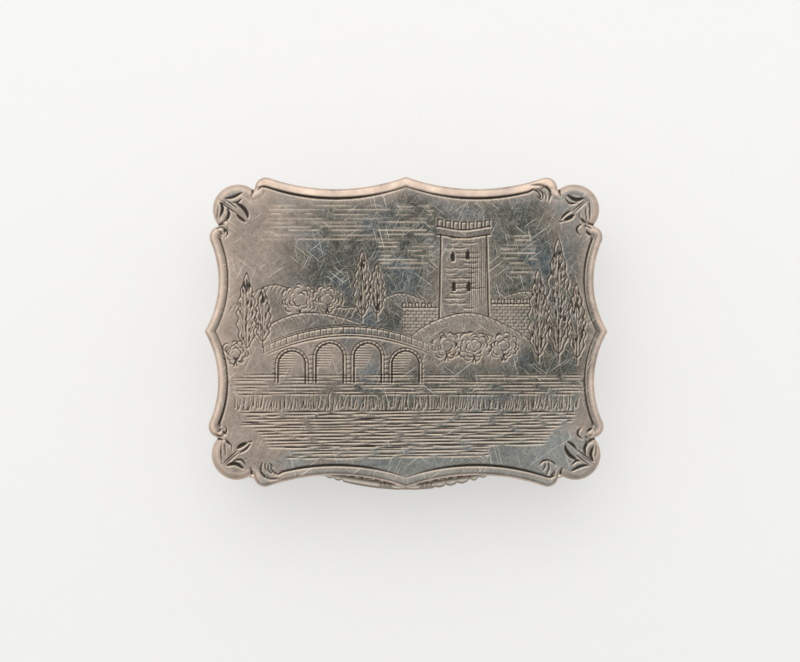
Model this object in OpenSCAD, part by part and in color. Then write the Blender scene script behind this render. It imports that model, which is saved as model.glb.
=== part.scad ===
// A small silver vinaigrette: a shaped box with a hinged lid, a pierced gilt grille
// that swings up under the lid, and a scented sponge below the grille.
// Lengths are in millimetres. The origin is the centre of the base's underside,
// +X runs along the length, -Y is the front with its thumbpiece and +Z is up.

/* [Lid plan] */
// Length of the lid between the points of its short sides
lid_l = 44; // [42:0.5:50]
// Width of the lid between the points of its long sides
lid_w = 34; // [32:0.5:38]
// How far each long side sweeps in beside its middle point
long_dip = 1.36; // [1:0.04:1.6]
// How far each short side sweeps in beside its middle point
short_dip = 1.5; // [1.2:0.05:1.8]
// How far the shoulders of the long sides stand back from the middle point
long_drop = 0.08; // [0.04:0.02:0.3]
// How far the shoulders of the short sides stand back from the middle point
short_drop = 0.5; // [0.3:0.05:0.7]
// Distance of each shoulder from the end of its side
shoulder_in = 6.65; // [6.4:0.05:6.9]
// Radius of the corner lobes
lobe_r = 2.75; // [2.65:0.05:2.9]
// Distance of the lobe centres from the sides
lobe_in = 3.6; // [3.5:0.05:3.7]
// Fillet in the nick on each side of a lobe
nick_r = 0.15; // [0.1:0.01:0.25]

/* [Lid section] */
// Width of the rounded border roll
border_w = 1; // [0.8:0.05:1.1]
// Width of the incised line along the inside of the roll
groove_w = 0.12; // [0.08:0.01:0.2]
// Radius left at a shoulder inside the incised line
shoulder_inner_r = 0.1; // [0.06:0.01:0.2]
// How far the lid top's underside is drawn in from its edge
edge_in = 0.15; // [0.05:0.05:0.3]
// Height of the lid top's outer edge
edge_h = 0.35; // [0.25:0.05:0.5]
// Height of the border's crown
border_h = 1; // [0.9:0.02:1.2]
// Thickness of the flat field
panel_h = 0.86; // [0.7:0.02:0.88]
// Depth of the incised line
groove_depth = 0.3; // [0.1:0.02:0.4]

/* [Box] */
// Height of the seam between box and lid
seam_z = 8.2; // [7.6:0.1:10]
// Gap left open in the seam
seam_gap = 0.04; // [0.02:0.01:0.08]
// Height of the lid's side wall
lid_rim_h = 3; // [2.8:0.1:3.8]
// How far the walls stand back under the lid top's edge
wall_inset = 0.6; // [0.5:0.05:0.8]
// Thickness of the box wall
wall_t = 0.55; // [0.5:0.05:0.7]
// Corner radius that the wall would have at the lid's edge
corner_r = 6.1; // [5.9:0.05:6.4]
// Thickness of the base plate
base_t = 0.7; // [0.5:0.05:0.9]
// How far the base plate stands out beyond the walls
base_lip = 0.2; // [0.1:0.05:0.3]
// Solder gap left at every seat between two pieces
seat_gap = 0.02; // [0.01:0.005:0.04]

/* [Bezel and ledge] */
// Thickness of the bezel that the lid closes over
bezel_t = 0.4; // [0.3:0.05:0.5]
// How far the bezel rises above the seam
bezel_rise = 1.2; // [0.8:0.1:1.5]
// Clearance between the bezel and the lid's side wall
bezel_clear = 0.15; // [0.12:0.01:0.2]
// Depth of the ledge's upper face below the seam
ledge_depth = 1.9; // [1.7:0.1:2.2]
// Thickness of the ledge
ledge_t = 0.5; // [0.4:0.05:0.7]
// How far the ledge reaches in from the bezel
ledge_reach = 1; // [0.8:0.05:1.3]

/* [Lid hinge] */
// Distance of the hinge line in from the deepest part of the back sweep
hinge_setback = 0.85; // [0.8:0.05:1.1]
// Length of the lid hinge
hinge_l = 26; // [22:0.5:28]
// Outer radius of the hinge knuckles
knuckle_r = 0.9; // [0.8:0.05:1]
// Radius of the hinge pin
pin_r = 0.4; // [0.3:0.02:0.5]
// Radial running clearance of every pin
pin_clear = 0.03; // [0.02:0.01:0.08]
// Gap between neighbouring knuckles, and round a knuckle that turns
knuckle_gap = 0.06; // [0.04:0.01:0.1]
// Thickness of the box's bearer in front of the hinge
bearer_t = 0.95; // [0.8:0.05:1.2]
// How far the bearers run past each end of the hinge
bearer_over = 2; // [1:0.25:2.5]
// Height of the lid's bearer
lid_bearer_h = 1.6; // [1.3:0.1:2]

/* [Grille] */
// Thickness of the pierced plate
grille_t = 0.47; // [0.35:0.02:0.55]
// Gap between the plate and the ledge
grille_lift = 0.03; // [0.02:0.01:0.06]
// Gap between the plate and the bezel
grille_gap = 0.4; // [0.35:0.05:0.6]
// Width of the plain frame round the piercing
grille_frame = 1.2; // [1:0.1:1.5]
// Outer radius of the grille's knuckles
grille_knuckle_r = 0.6; // [0.55:0.05:0.7]
// Radius of the grille's pin
grille_pin_r = 0.27; // [0.2:0.01:0.32]
// Length of the grille's hinge
grille_hinge_l = 12; // [9:0.5:15]
// Gap between the grille's knuckles and the bezel
grille_hinge_gap = 0.15; // [0.1:0.05:0.25]
// Width of the scrolling stems
stem_w = 0.85; // [0.75:0.05:1]
// Turns of each large scroll
scroll_turns = 1.7; // [1.5:0.05:1.8]
// Width of a stem at its end
stem_end_w = 0.55; // [0.45:0.05:0.7]
// Radius of the flower in the eye of each large scroll
eye_r = 1.7; // [1.5:0.05:1.9]
// Radius of the small scrolls
small_r = 2.6; // [2.4:0.05:2.8]
// Radius of the rosette in the middle
rosette_r = 3.5; // [3.2:0.1:3.8]
// Length of a scroll's leaves
leaf_l = 2.2; // [1.9:0.1:2.5]
// Width of a scroll's leaves
leaf_w = 1; // [0.9:0.05:1.2]
// Metal that filing takes off every edge of the piercing
saw_wear = 0.01; // [0.005:0.005:0.02]
// Distance of the lift tab from the grille's front point
tab_set = 0.8; // [0.7:0.05:0.9]
// Width of the lift tab
tab_w = 3; // [2.4:0.1:3.6]
// Height of the lift tab
tab_h = 1.3; // [1:0.1:1.5]
// Thickness of the lift tab
tab_t = 0.4; // [0.3:0.05:0.6]

/* [Thumbpiece] */
// Length of the cast thumbpiece
thumb_l = 18.8; // [16:0.4:22]
// How far it stands out beyond the lid's front point
thumb_reach = 0.25; // [0.1:0.05:0.5]
// How far its ends fall back from its middle
thumb_bow = 1.6; // [1.3:0.05:1.7]
// Margin above and below it on the lid's side wall
thumb_margin = 0.08; // [0.05:0.01:0.2]
// Least thickness of its relief, as a share of the full relief
thumb_ground = 0.4; // [0.3:0.05:0.6]
// Share of its depth by which the thumbpiece's face leans back at the top
thumb_lean = 0.55; // [0.3:0.05:0.7]

/* [Sponge] */
// Gap between the sponge and the walls and ledge
sponge_gap = 0.45; // [0.3:0.05:0.8]
// Gap between the sponge and the base plate
sponge_seat = 0.05; // [0.02:0.01:0.1]
// How far the sponge's top is crowned
sponge_crown = 0.7; // [0.4:0.1:1]
// How far its sides are drawn in between top and bottom
sponge_waist = 0.35; // [0.2:0.05:0.5]

/* [Hidden] */
$fn = 64;

silver = [0.6, 0.59, 0.58];
worn_silver = [0.78, 0.73, 0.69];
gilt = [0.83, 0.67, 0.36];
sponge_tan = [0.74, 0.6, 0.4];

half_l = lid_l / 2;
half_w = lid_w / 2;

// Heights
lid_bottom = seam_z + seam_gap;
lid_under = lid_bottom + lid_rim_h;
hinge_z = seam_z + seam_gap / 2;
ledge_top = seam_z - ledge_depth;
bezel_top = seam_z + bezel_rise;
grille_z = ledge_top + grille_lift;
grille_hinge_z = grille_z + grille_knuckle_r;

// Insets of the wall faces from the lid's edge
wall_in = wall_inset + wall_t;
bezel_out = wall_in + seat_gap;
bezel_in = bezel_out + bezel_t;
lid_wall_in = bezel_out - bezel_clear;
grille_in = bezel_in + grille_gap;

// Places of the flat back faces, from the hinge line inwards
hinge_y = half_w - long_dip - hinge_setback;
wall_back = hinge_y - wall_t;
lid_wall_back = hinge_y - (lid_wall_in - wall_inset);
bearer_back = wall_back - seat_gap;
bearer_front = bearer_back - bearer_t;
bezel_back = bearer_front - seat_gap;
bezel_back_in = bezel_back - bezel_t;
grille_hinge_y = bezel_back_in - grille_hinge_gap - grille_knuckle_r;

// Plan of the lid
shoulder_r = border_w + groove_w + shoulder_inner_r;
long_s = [half_l - shoulder_in, half_w - long_drop - shoulder_r];
short_s = [half_l - short_drop - shoulder_r, half_w - shoulder_in];
long_at = sweep_at(long_s[0], long_dip, long_drop);
short_at = sweep_at(short_s[1], short_dip, short_drop);
long_r = sweep_r(long_at, long_dip);
short_r = sweep_r(short_at, short_dip);
long_c = [long_at, half_w - long_dip + long_r];
short_c = [half_l - short_dip + short_r, short_at];
lobe_c = [half_l - lobe_in, half_w - lobe_in];
long_f = crossing(long_s, shoulder_r + nick_r, lobe_c, lobe_r + nick_r);
short_f = crossing(lobe_c, lobe_r + nick_r, short_s, shoulder_r + nick_r);
wall_k = crossing(short_c, short_r + corner_r, long_c, long_r + corner_r);

// Steps along the arcs of the plan
sweep_n = 12;
shoulder_n = 4;
nick_n = 3;
lobe_n = 12;
corner_n = 12;
roll_n = 6;

function polar(c, r, a) = c + r * [cos(a), sin(a)];
function heading(from, to) = atan2(to[1] - from[1], to[0] - from[0]);
function arc(c, r, a0, a1, n) = [for (i = [0 : n - 1]) polar(c, r, a0 + (a1 - a0) * i / n)];
function turned_back(a0, a1) = a1 + (a0 - a1 + 720) % 360;
function repeat(value, n) = [for (i = [1 : n]) value];
function mix(a, b, t) = a + (b - a) * t;

// The crossing of two circles that lies left of the line from the first to the second
function crossing(c1, r1, c2, r2) =
    let (gap = norm(c2 - c1))
    let (along = (c2 - c1) / gap)
    let (x = (gap * gap + r1 * r1 - r2 * r2) / (2 * gap))
    c1 + x * along + sqrt(r1 * r1 - x * x) * [-along[1], along[0]];

// Distance of the deepest place of a sweep from its middle point, where the sweep runs
// through the middle point and touches a shoulder whose centre lies at a distance xs
function sweep_at(xs, dip, drop) =
    let (share = drop / dip)
    let (c = xs * xs - (dip - drop) * (2 * shoulder_r + drop))
    c / (xs + sqrt(xs * xs - share * c));
function sweep_r(at, dip) = (at * at + dip * dip) / (2 * dip);

// One quarter of a plan, inset by d, from the side point round to the back point
function side_sweep(d, to) =
    arc(short_c, short_r + d, 180 + asin(short_at / (short_r + d)), heading(short_c, to), sweep_n);
function back_sweep(d, from) =
    arc(long_c, long_r + d, heading(long_c, from) + 360, 270 - asin(long_at / (long_r + d)), sweep_n);
function back_point(d) = [[0, long_c[1] - sqrt(pow(long_r + d, 2) - long_at * long_at)]];
function nick(c, d, from, to) =
    arc(c, nick_r + d, turned_back(heading(c, from), heading(c, to)), heading(c, to), nick_n);
function lid_quarter(d) = concat(
    side_sweep(d, short_s),
    arc(short_s, shoulder_r - d, heading(short_s, short_c), heading(short_s, short_f), shoulder_n),
    nick(short_f, d, short_s, lobe_c),
    arc(lobe_c, lobe_r - d, heading(lobe_c, short_f), heading(lobe_c, long_f), lobe_n),
    nick(long_f, d, lobe_c, long_s),
    arc(long_s, shoulder_r - d, heading(long_s, long_f), heading(long_s, long_c), shoulder_n),
    back_sweep(d, long_s),
    back_point(d)
);
function wall_quarter(d) = concat(
    side_sweep(d, wall_k),
    arc(wall_k, corner_r - d, heading(wall_k, short_c), heading(wall_k, long_c), corner_n),
    back_sweep(d, wall_k),
    back_point(d)
);

// A whole plan from its quarter, and a whole list of weights from a quarter's weights
function whole(q) =
    let (n = len(q))
    concat(
        [for (i = [0 : n - 2]) q[i]],
        [for (i = [n - 1 : -1 : 1]) [-q[i][0], q[i][1]]],
        [for (i = [0 : n - 2]) -q[i]],
        [for (i = [n - 1 : -1 : 1]) [q[i][0], -q[i][1]]]
    );
function whole_weights(w) =
    let (n = len(w))
    let (there = [for (i = [0 : n - 2]) w[i]])
    let (back = [for (i = [n - 1 : -1 : 1]) w[i]])
    concat(there, back, there, back);

// The two triangles of a cell with the corners a, b, c and d
function cell(a, b, c, d) = [[a, b, d], [b, c, d]];
// A solid through stacked rings, closed at both ends by a fan from a centre point
module loft(rings, low, high) {
    n = len(rings[0]);
    top = len(rings) - 1;
    faces = concat(
        [
            for (r = [0 : top - 1], i = [0 : n - 1])
                each cell(r * n + i, r * n + n + i, r * n + n + (i + 1) % n, r * n + (i + 1) % n)
        ],
        [for (i = [0 : n - 1]) [top * n + n, i, (i + 1) % n]],
        [for (i = [0 : n - 1]) [top * n + n + 1, top * n + (i + 1) % n, top * n + i]]
    );
    polyhedron(concat([for (ring = rings, p = ring) p], [low, high]), faces);
}

// The wall's plan, inset by d and cut off flat at the back
module wall_plan(d, back) {
    intersection() {
        polygon(whole(wall_quarter(d)));
        translate([-lid_l, -lid_w])
            square([2 * lid_l, lid_w + back]);
    }
}
module wall_band(d_out, back_out, d_in, back_in, low, high) {
    translate([0, 0, low])
        linear_extrude(high - low)
            difference() {
                wall_plan(d_out, back_out);
                wall_plan(d_in, back_in);
            }
}

// Hinges: knuckle i of n, the pin, and the room that one knuckle takes in its neighbours
function knuckle_l(length, n) = (length - (n - 1) * knuckle_gap) / n;
function knuckle_x(length, n, i) = -length / 2 + i * (knuckle_l(length, n) + knuckle_gap);
module along_x(r, x, length) {
    translate([x, 0, 0])
        rotate([0, 90, 0])
            cylinder(r = r, h = length);
}
module knuckle(r, bore_r, length, n, i) {
    difference() {
        along_x(r, knuckle_x(length, n, i), knuckle_l(length, n));
        along_x(bore_r, knuckle_x(length, n, i) - knuckle_gap, knuckle_l(length, n) + 2 * knuckle_gap);
    }
}
// Cut for the n knuckles of a hinge; those with an index of parity own are soldered here
module knuckle_cut(r, length, n, own) {
    for (i = [0 : n - 1]) {
        room = i % 2 == own ? seat_gap : knuckle_gap;
        along_x(r + room, knuckle_x(length, n, i) - knuckle_gap, knuckle_l(length, n) + 2 * knuckle_gap);
    }
}

lid_knuckles = 5;
grille_knuckles = 3;
module at_lid_hinge() {
    translate([0, hinge_y, hinge_z])
        children();
}
module at_grille_hinge() {
    translate([0, grille_hinge_y, grille_hinge_z])
        children();
}
module lid_knuckle(i) {
    color(silver)
        at_lid_hinge()
            knuckle(knuckle_r, pin_r + pin_clear, hinge_l, lid_knuckles, i);
}
module grille_side_knuckle(i) {
    color(gilt)
        at_grille_hinge()
            knuckle(grille_knuckle_r, grille_pin_r + pin_clear, grille_hinge_l, grille_knuckles, i);
}

// Box
module base_plate() {
    color(silver)
        linear_extrude(base_t)
            wall_plan(wall_inset - base_lip, hinge_y + base_lip);
}
module body_wall() {
    color(silver)
        difference() {
            wall_band(wall_inset, hinge_y, wall_in, wall_back, base_t, seam_z);
            at_lid_hinge()
                knuckle_cut(knuckle_r, hinge_l, lid_knuckles, 0);
        }
}
module bezel() {
    color(gilt)
        wall_band(bezel_out, bezel_back, bezel_in, bezel_back_in, ledge_top, bezel_top);
}
module grille_ledge() {
    color(gilt)
        wall_band(bezel_out, bearer_back, bezel_in + ledge_reach, bezel_back_in - ledge_reach,
            ledge_top - ledge_t, ledge_top);
}
bearer_l = hinge_l + 2 * bearer_over;
module box_hinge_bearer() {
    color(gilt)
        difference() {
            translate([-bearer_l / 2, bearer_front, ledge_top])
                cube([bearer_l, bearer_t, ledge_depth]);
            at_lid_hinge()
                knuckle_cut(knuckle_r, hinge_l, lid_knuckles, 0);
        }
}
module hinge_pin() {
    color(worn_silver)
        at_lid_hinge()
            along_x(pin_r, -hinge_l / 2, hinge_l);
}
module grille_hinge_bearer() {
    front = grille_hinge_y + grille_knuckle_r / 2;
    color(gilt)
        difference() {
            translate([-grille_hinge_l / 2, front, ledge_top])
                cube([grille_hinge_l, bezel_back_in - seat_gap - front, grille_knuckle_r]);
            at_grille_hinge()
                knuckle_cut(grille_knuckle_r, grille_hinge_l, grille_knuckles, 0);
        }
}
module grille_pin() {
    color(worn_silver)
        at_grille_hinge()
            along_x(grille_pin_r, -grille_hinge_l / 2, grille_hinge_l);
}

// Sponge: a soft pad of rounded plan, drawn in round its middle and crowned on top
sponge_low = base_t + sponge_seat;
sponge_high = ledge_top - ledge_t - sponge_gap;
sponge_front = half_w - long_dip - wall_in - sponge_gap;
sponge_back = wall_back - sponge_gap;
sponge_half = [half_l - short_dip - wall_in - sponge_gap, (sponge_front + sponge_back) / 2];
sponge_mid = [0, (sponge_back - sponge_front) / 2];
sponge_power = 5;
sponge_edge = 1.1;
sponge_points = 64;
sponge_rings = 14;
function signed_pow(v, p) = sign(v) * pow(abs(v), p);
function sponge_plan(size) = [
    for (i = [0 : sponge_points - 1])
        let (a = 360 * i / sponge_points)
        sponge_mid + [
            size[0] * signed_pow(cos(a), 2 / sponge_power),
            size[1] * signed_pow(sin(a), 2 / sponge_power)
        ]
];
// Half a turn of section, from the middle of the underside round to the middle of the top
function sponge_ring(t) =
    let (a = -90 + 180 * t)
    let (side_h = sponge_high - sponge_crown - sponge_low)
    let (round = 1 - pow(abs(sin(a)), 6))
    let (inset = sponge_edge * (1 - round) + sponge_waist * pow(cos(a), 8))
    let (z = sponge_low + side_h * (1 + signed_pow(sin(a), 0.8)) / 2)
    [for (p = sponge_plan(sponge_half - [inset, inset])) [p[0], p[1], z]];
function sponge_cap(t) =
    let (z = sponge_high - sponge_crown * t * t)
    let (inner = (sponge_half - [sponge_edge, sponge_edge]) * t)
    [for (p = sponge_plan(inner)) [p[0], p[1], z]];
module sponge() {
    sides = [for (i = [0 : sponge_rings - 1]) sponge_ring(i / (sponge_rings - 1))];
    caps = [for (t = [0.8, 0.6, 0.4, 0.2]) sponge_cap(t)];
    color(sponge_tan)
        loft(concat(sides, caps), [0, sponge_mid[1], sponge_low], [0, sponge_mid[1], sponge_high]);
}

// Lid
quarter_weights = concat(
    repeat(1, sweep_n + shoulder_n),
    repeat(0.5, nick_n),
    repeat(0, lobe_n),
    repeat(0.5, nick_n),
    repeat(1, shoulder_n + sweep_n + 1)
);
lid_weights = whole_weights(quarter_weights);
// Height of the border roll at an angle a across it, where the inner side runs down
// into the incised line with the weight w
function roll_z(a, w) =
    let (foot = a > 90 ? panel_h - groove_depth * w : edge_h)
    foot + (border_h - foot) * sin(a);
function lid_ring(d, heights) =
    let (plan = whole(lid_quarter(d)))
    [for (i = [0 : len(plan) - 1]) [plan[i][0], plan[i][1], lid_under + heights[i]]];
function level(z) = repeat(z, len(lid_weights));
module lid_top() {
    roll = [
        for (i = [0 : roll_n])
            let (a = 180 * i / roll_n)
            lid_ring(border_w * (1 - cos(a)) / 2, [for (w = lid_weights) roll_z(a, w)])
    ];
    rings = concat([lid_ring(edge_in, level(0))], roll, [lid_ring(border_w + groove_w, level(panel_h))]);
    color(silver)
        loft(rings, [0, 0, lid_under], [0, 0, lid_under + panel_h]);
}
module lid_rim() {
    color(silver)
        difference() {
            wall_band(wall_inset, hinge_y, lid_wall_in, lid_wall_back, lid_bottom, lid_under);
            at_lid_hinge()
                knuckle_cut(knuckle_r, hinge_l, lid_knuckles, 1);
        }
}
module lid_hinge_bearer() {
    front = bezel_back + bezel_clear;
    color(gilt)
        difference() {
            translate([-bearer_l / 2, front, lid_bottom])
                cube([bearer_l, lid_wall_back - seat_gap - front, lid_bearer_h]);
            at_lid_hinge()
                knuckle_cut(knuckle_r, hinge_l, lid_knuckles, 1);
        }
}

// Thumbpiece: a cast spray with a flower in the middle, a rolled scroll along each arm and leafy tips
thumb_h = lid_rim_h - 2 * thumb_margin;
thumb_mid = lid_bottom + lid_rim_h / 2;
thumb_seat = 0.03;
thumb_columns = 88;
thumb_rows = 14;
petals = 6;
petal_at = 0.85;
petal_size = [0.6, 0.4];
heart_r = 0.42;
arm_start = petal_at / 2;
arm_end = thumb_l * 0.35;
tip_leaves = 3;
tip_pitch = (thumb_l / 2 - arm_end) / tip_leaves;
low_rim = -0.62;
high_rim = 0.7;
rim_w = 0.28;
curl_w = 0.45;
bead_r = 0.42;
beads = 3;
bead_pitch = (arm_end - petal_at - petal_size[0]) / (beads + 1);
function dome(p, c, size, turn) =
    let (q = p - c)
    let (u = (q[0] * cos(turn) + q[1] * sin(turn)) / size[0])
    let (v = (q[1] * cos(turn) - q[0] * sin(turn)) / size[1])
    sqrt(max(0, 1 - u * u - v * v));
function petal(p, turn) = 0.85 * dome(p, polar([0, 0], petal_at, turn), petal_size, turn);
function flower(p) = max(
    dome(p, [0, 0], [heart_r, heart_r], 0),
    max([for (i = [0 : petals - 1]) petal(p, 360 * i / petals)])
);
function fade(x, from, over) = min(1, max(0, (x - from) / over));
function ridge(q, width) = exp(-pow(q / width, 2));
// One arm at x and at the share v of its half height: a rim below and one above, which a
// curl joins, and leaf lobes beyond the curl
function arm(x, v) =
    let (tip = fade(x, arm_end, tip_pitch / 2))
    let (lobes = mix(1, 0.8 + 0.2 * cos(360 * (x - arm_end) / tip_pitch), tip))
    let (rims = max(ridge(v - low_rim, rim_w), 0.8 * ridge(v - high_rim, rim_w)))
    fade(x, arm_start, petal_at) * max(lobes * rims, 0.9 * ridge(x - arm_end, curl_w));
// Beads in the hollow between the rims
function bead_row(p) = 0.6 * max([
    for (i = [1 : beads])
        dome(p, [arm_end - bead_pitch * i, 0], [bead_r, bead_r], 0)
]);
function relief(p, half) =
    let (folded = [abs(p[0]), p[1]])
    max(flower(p), arm(folded[0], folded[1] / half), bead_row(folded));
// Half the height of the spray at x, scalloped towards its tips
function thumb_half(x) =
    let (t = abs(x) / (thumb_l / 2))
    let (scallop = 0.08 * cos(360 * (abs(x) - arm_end) / tip_pitch))
    (thumb_h / 2) * (0.14 + 0.78 * pow(1 - t * t, 0.6) + scallop * (1 - t));
function rim_front(x) = long_c[1] - sqrt(pow(long_r + wall_inset, 2) - pow(abs(x) - long_at, 2));
function thumb_front(x) = half_w + thumb_reach - thumb_bow * pow(2 * x / thumb_l, 2);
// The face leans back towards its upper edge
function thumb_point(i, j) =
    let (x = thumb_l * (i / thumb_columns - 0.5))
    let (half = thumb_half(x))
    let (z = half * (2 * j / thumb_rows - 1))
    let (back = rim_front(x) + thumb_seat)
    let (lean = 1 - thumb_lean * j / thumb_rows)
    let (rise = lean * mix(thumb_ground, 1, relief([x, z], half)))
    [x, -mix(back, thumb_front(x), rise), thumb_mid + z];
function thumb_back_point(i, side) =
    let (x = thumb_l * (i / thumb_columns - 0.5))
    [x, -(rim_front(x) + thumb_seat), thumb_mid + side * thumb_half(x)];
function front_at(i, j) = i * (thumb_rows + 1) + j;
function back_at(i, side) = (thumb_columns + 1) * (thumb_rows + 1) + 2 * i + side;
module thumbpiece() {
    front = [for (i = [0 : thumb_columns], j = [0 : thumb_rows]) thumb_point(i, j)];
    back = [for (i = [0 : thumb_columns], side = [-1, 1]) thumb_back_point(i, side)];
    columns = [0 : thumb_columns - 1];
    rows = [0 : thumb_rows - 1];
    n = thumb_columns;
    top = thumb_rows;
    faces = concat(
        [
            for (i = columns, j = rows)
                each cell(front_at(i, j), front_at(i, j + 1), front_at(i + 1, j + 1), front_at(i + 1, j))
        ],
        [for (i = columns) each cell(back_at(i, 0), back_at(i + 1, 0), back_at(i + 1, 1), back_at(i, 1))],
        [for (i = columns) each cell(front_at(i, 0), front_at(i + 1, 0), back_at(i + 1, 0), back_at(i, 0))],
        [
            for (i = columns)
                each cell(front_at(i, top), back_at(i, 1), back_at(i + 1, 1), front_at(i + 1, top))
        ],
        [for (j = rows) [back_at(0, 0), front_at(0, j + 1), front_at(0, j)]],
        [for (j = rows) [back_at(n, 0), front_at(n, j), front_at(n, j + 1)]],
        [[back_at(0, 0), back_at(0, 1), front_at(0, top)], [back_at(n, 0), front_at(n, top), back_at(n, 1)]]
    );
    color(worn_silver)
        polyhedron(concat(front, back), faces);
}

// Grille: a plain frame round a pierced panel of scrolling stems, leaves and flowers
grille_front = half_w - long_dip - grille_in;
panel_side = half_l - short_dip - grille_in - grille_frame;
panel_half = [panel_side, (grille_front + grille_hinge_y) / 2 - grille_frame];
panel_mid = [0, (grille_hinge_y - grille_front) / 2];
lap = stem_w / 4;
scroll_c = [panel_half[0] * 0.6, panel_half[1] * 0.47];
scroll_r = panel_half[1] - scroll_c[1] + lap;
scroll_a = heading(scroll_c, [0, 0]);
small_c = [small_r + lap, panel_half[1] - small_r + lap];
medallion_r = norm(scroll_c) - scroll_r + lap;
stem_steps = 30;
leaf_steps = 4;
scroll_leaves = 8;
// Closed outline of a stem that runs along a list of points and narrows from w0 to w1
function stem(points, w0, w1) =
    let (n = len(points))
    let (turn = [for (i = [0 : n - 1]) heading(points[max(i - 1, 0)], points[min(i + 1, n - 1)]) + 90])
    let (half = [for (i = [0 : n - 1]) mix(w0, w1, i / (n - 1)) / 2])
    concat(
        [for (i = [0 : n - 1]) polar(points[i], half[i], turn[i])],
        [for (i = [n - 1 : -1 : 0]) polar(points[i], -half[i], turn[i])]
    );
function spiral(c, r0, r1, a0, turns, steps) =
    [for (i = [0 : steps]) polar(c, mix(r0, r1, i / steps), a0 + 360 * turns * i / steps)];
// A pointed leaf from its foot, along the direction a
function leaf(foot, a, length, width) =
    let (steps = [for (i = [0 : leaf_steps]) i / leaf_steps])
    let (side = [for (t = steps) [length * t, width / 2 * sin(180 * pow(t, 0.8))]])
    let (loop = concat(side, [for (i = [leaf_steps - 1 : -1 : 1]) [side[i][0], -side[i][1]]]))
    [for (p = loop) foot + [p[0] * cos(a) - p[1] * sin(a), p[0] * sin(a) + p[1] * cos(a)]];
module leaves(foot, angles, length, width) {
    for (a = angles)
        polygon(leaf(foot, a, length, width));
}
module blossom(r, n, hole_r) {
    difference() {
        union() {
            for (i = [0 : n - 1])
                translate(polar([0, 0], r * 0.6, 360 * i / n))
                    circle(r = r * 0.4, $fn = 13);
            circle(r = r * 0.6, $fn = 16);
        }
        circle(r = hole_r, $fn = 13);
    }
}
module large_scroll() {
    inner_r = eye_r * 0.7;
    path = spiral(scroll_c, scroll_r, inner_r, scroll_a, -scroll_turns, stem_steps);
    polygon(stem(path, stem_w, stem_end_w));
    translate(scroll_c)
        blossom(eye_r, 5, eye_r * 0.3);
    for (k = [1 : scroll_leaves]) {
        t = k / (scroll_leaves + 1.5);
        a = scroll_a - 360 * scroll_turns * t;
        foot = polar(scroll_c, mix(scroll_r, inner_r, t), a);
        leaves(foot, [a - 138], leaf_l, leaf_w);
        leaves(foot, [a - 38], leaf_l * 0.85, leaf_w);
    }
}
module small_scroll() {
    polygon(stem(spiral(small_c, small_r, eye_r / 2, 180, 1.4, stem_steps / 2), stem_w, stem_end_w));
    translate(small_c)
        blossom(eye_r * 0.75, 5, eye_r * 0.2);
    leaves(polar(small_c, small_r, 240), [205, 265], leaf_l, leaf_w);
    leaves(polar(small_c, small_r, 20), [20, 60], leaf_l, leaf_w);
}
module corner_spray() {
    // its foot lies in the middle of the frame's rounded corner
    foot = polar(wall_k, corner_r - grille_in - grille_frame / 2, 45) + panel_mid;
    leaves(foot, [195, 225, 255], leaf_l * 1.6, leaf_w * 1.2);
}
module side_spray() {
    foot = [panel_half[0] + short_dip / 2, 0];
    leaves(foot, [150, 180, 210], leaf_l * 2, leaf_w * 1.3);
    translate([medallion_r - lap, -stem_end_w / 2])
        square([half_l - medallion_r, stem_end_w]);
    for (x = [medallion_r + leaf_l / 2, scroll_c[0]])
        leaves([x, 0], [-40, 40], leaf_l, leaf_w);
}
module end_spray() {
    leaves([0, panel_half[1]], [248, 292], leaf_l * 1.4, leaf_w);
    leaves([0, medallion_r], [90, 50, 130], leaf_l * 1.1, leaf_w);
    translate([-stem_end_w / 2, medallion_r - lap])
        square([stem_end_w, half_w - medallion_r]);
}
module medallion() {
    difference() {
        circle(r = medallion_r, $fn = 48);
        circle(r = medallion_r - stem_w, $fn = 48);
    }
    blossom(rosette_r, petals + 2, rosette_r * 0.22);
    for (i = [0 : petals + 1])
        let (a = 360 * (i + 0.5) / (petals + 2))
        leaves(polar([0, 0], rosette_r * 0.6, a), [a], medallion_r - rosette_r * 0.6, leaf_w);
}
module four_ways() {
    for (sx = [0, 1], sy = [0, 1])
        mirror([sx, 0])
            mirror([0, sy])
                children();
}
module pierced_panel() {
    translate(panel_mid) {
        medallion();
        four_ways() {
            large_scroll();
            small_scroll();
            corner_spray();
        }
        for (s = [0, 1]) {
            mirror([s, 0])
                side_spray();
            mirror([0, s])
                end_spray();
        }
    }
}
module grille_outline(inset) {
    wall_plan(grille_in + inset, grille_hinge_y - inset);
}
module grille_plan() {
    offset(delta = -saw_wear) {
        difference() {
            grille_outline(-saw_wear);
            grille_outline(grille_frame);
        }
        intersection() {
            pierced_panel();
            grille_outline(grille_frame / 2);
        }
    }
}
module grille_plate() {
    color(gilt)
        difference() {
            translate([0, 0, grille_z])
                linear_extrude(grille_t)
                    grille_plan();
            at_grille_hinge()
                knuckle_cut(grille_knuckle_r, grille_hinge_l, grille_knuckles, 1);
        }
}
module grille_lift_tab() {
    tab_r = (tab_w * tab_w / 4 + tab_h * tab_h) / (2 * tab_h);
    tab_y = tab_set - back_point(grille_in)[0][1];
    low = grille_z + grille_t;
    color(gilt)
        intersection() {
            translate([0, tab_y + tab_t, low + tab_h - tab_r])
                rotate([90, 0, 0])
                    cylinder(r = tab_r, h = tab_t);
            translate([-tab_w, -half_w, low])
                cube([2 * tab_w, lid_w, tab_h]);
        }
}

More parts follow.
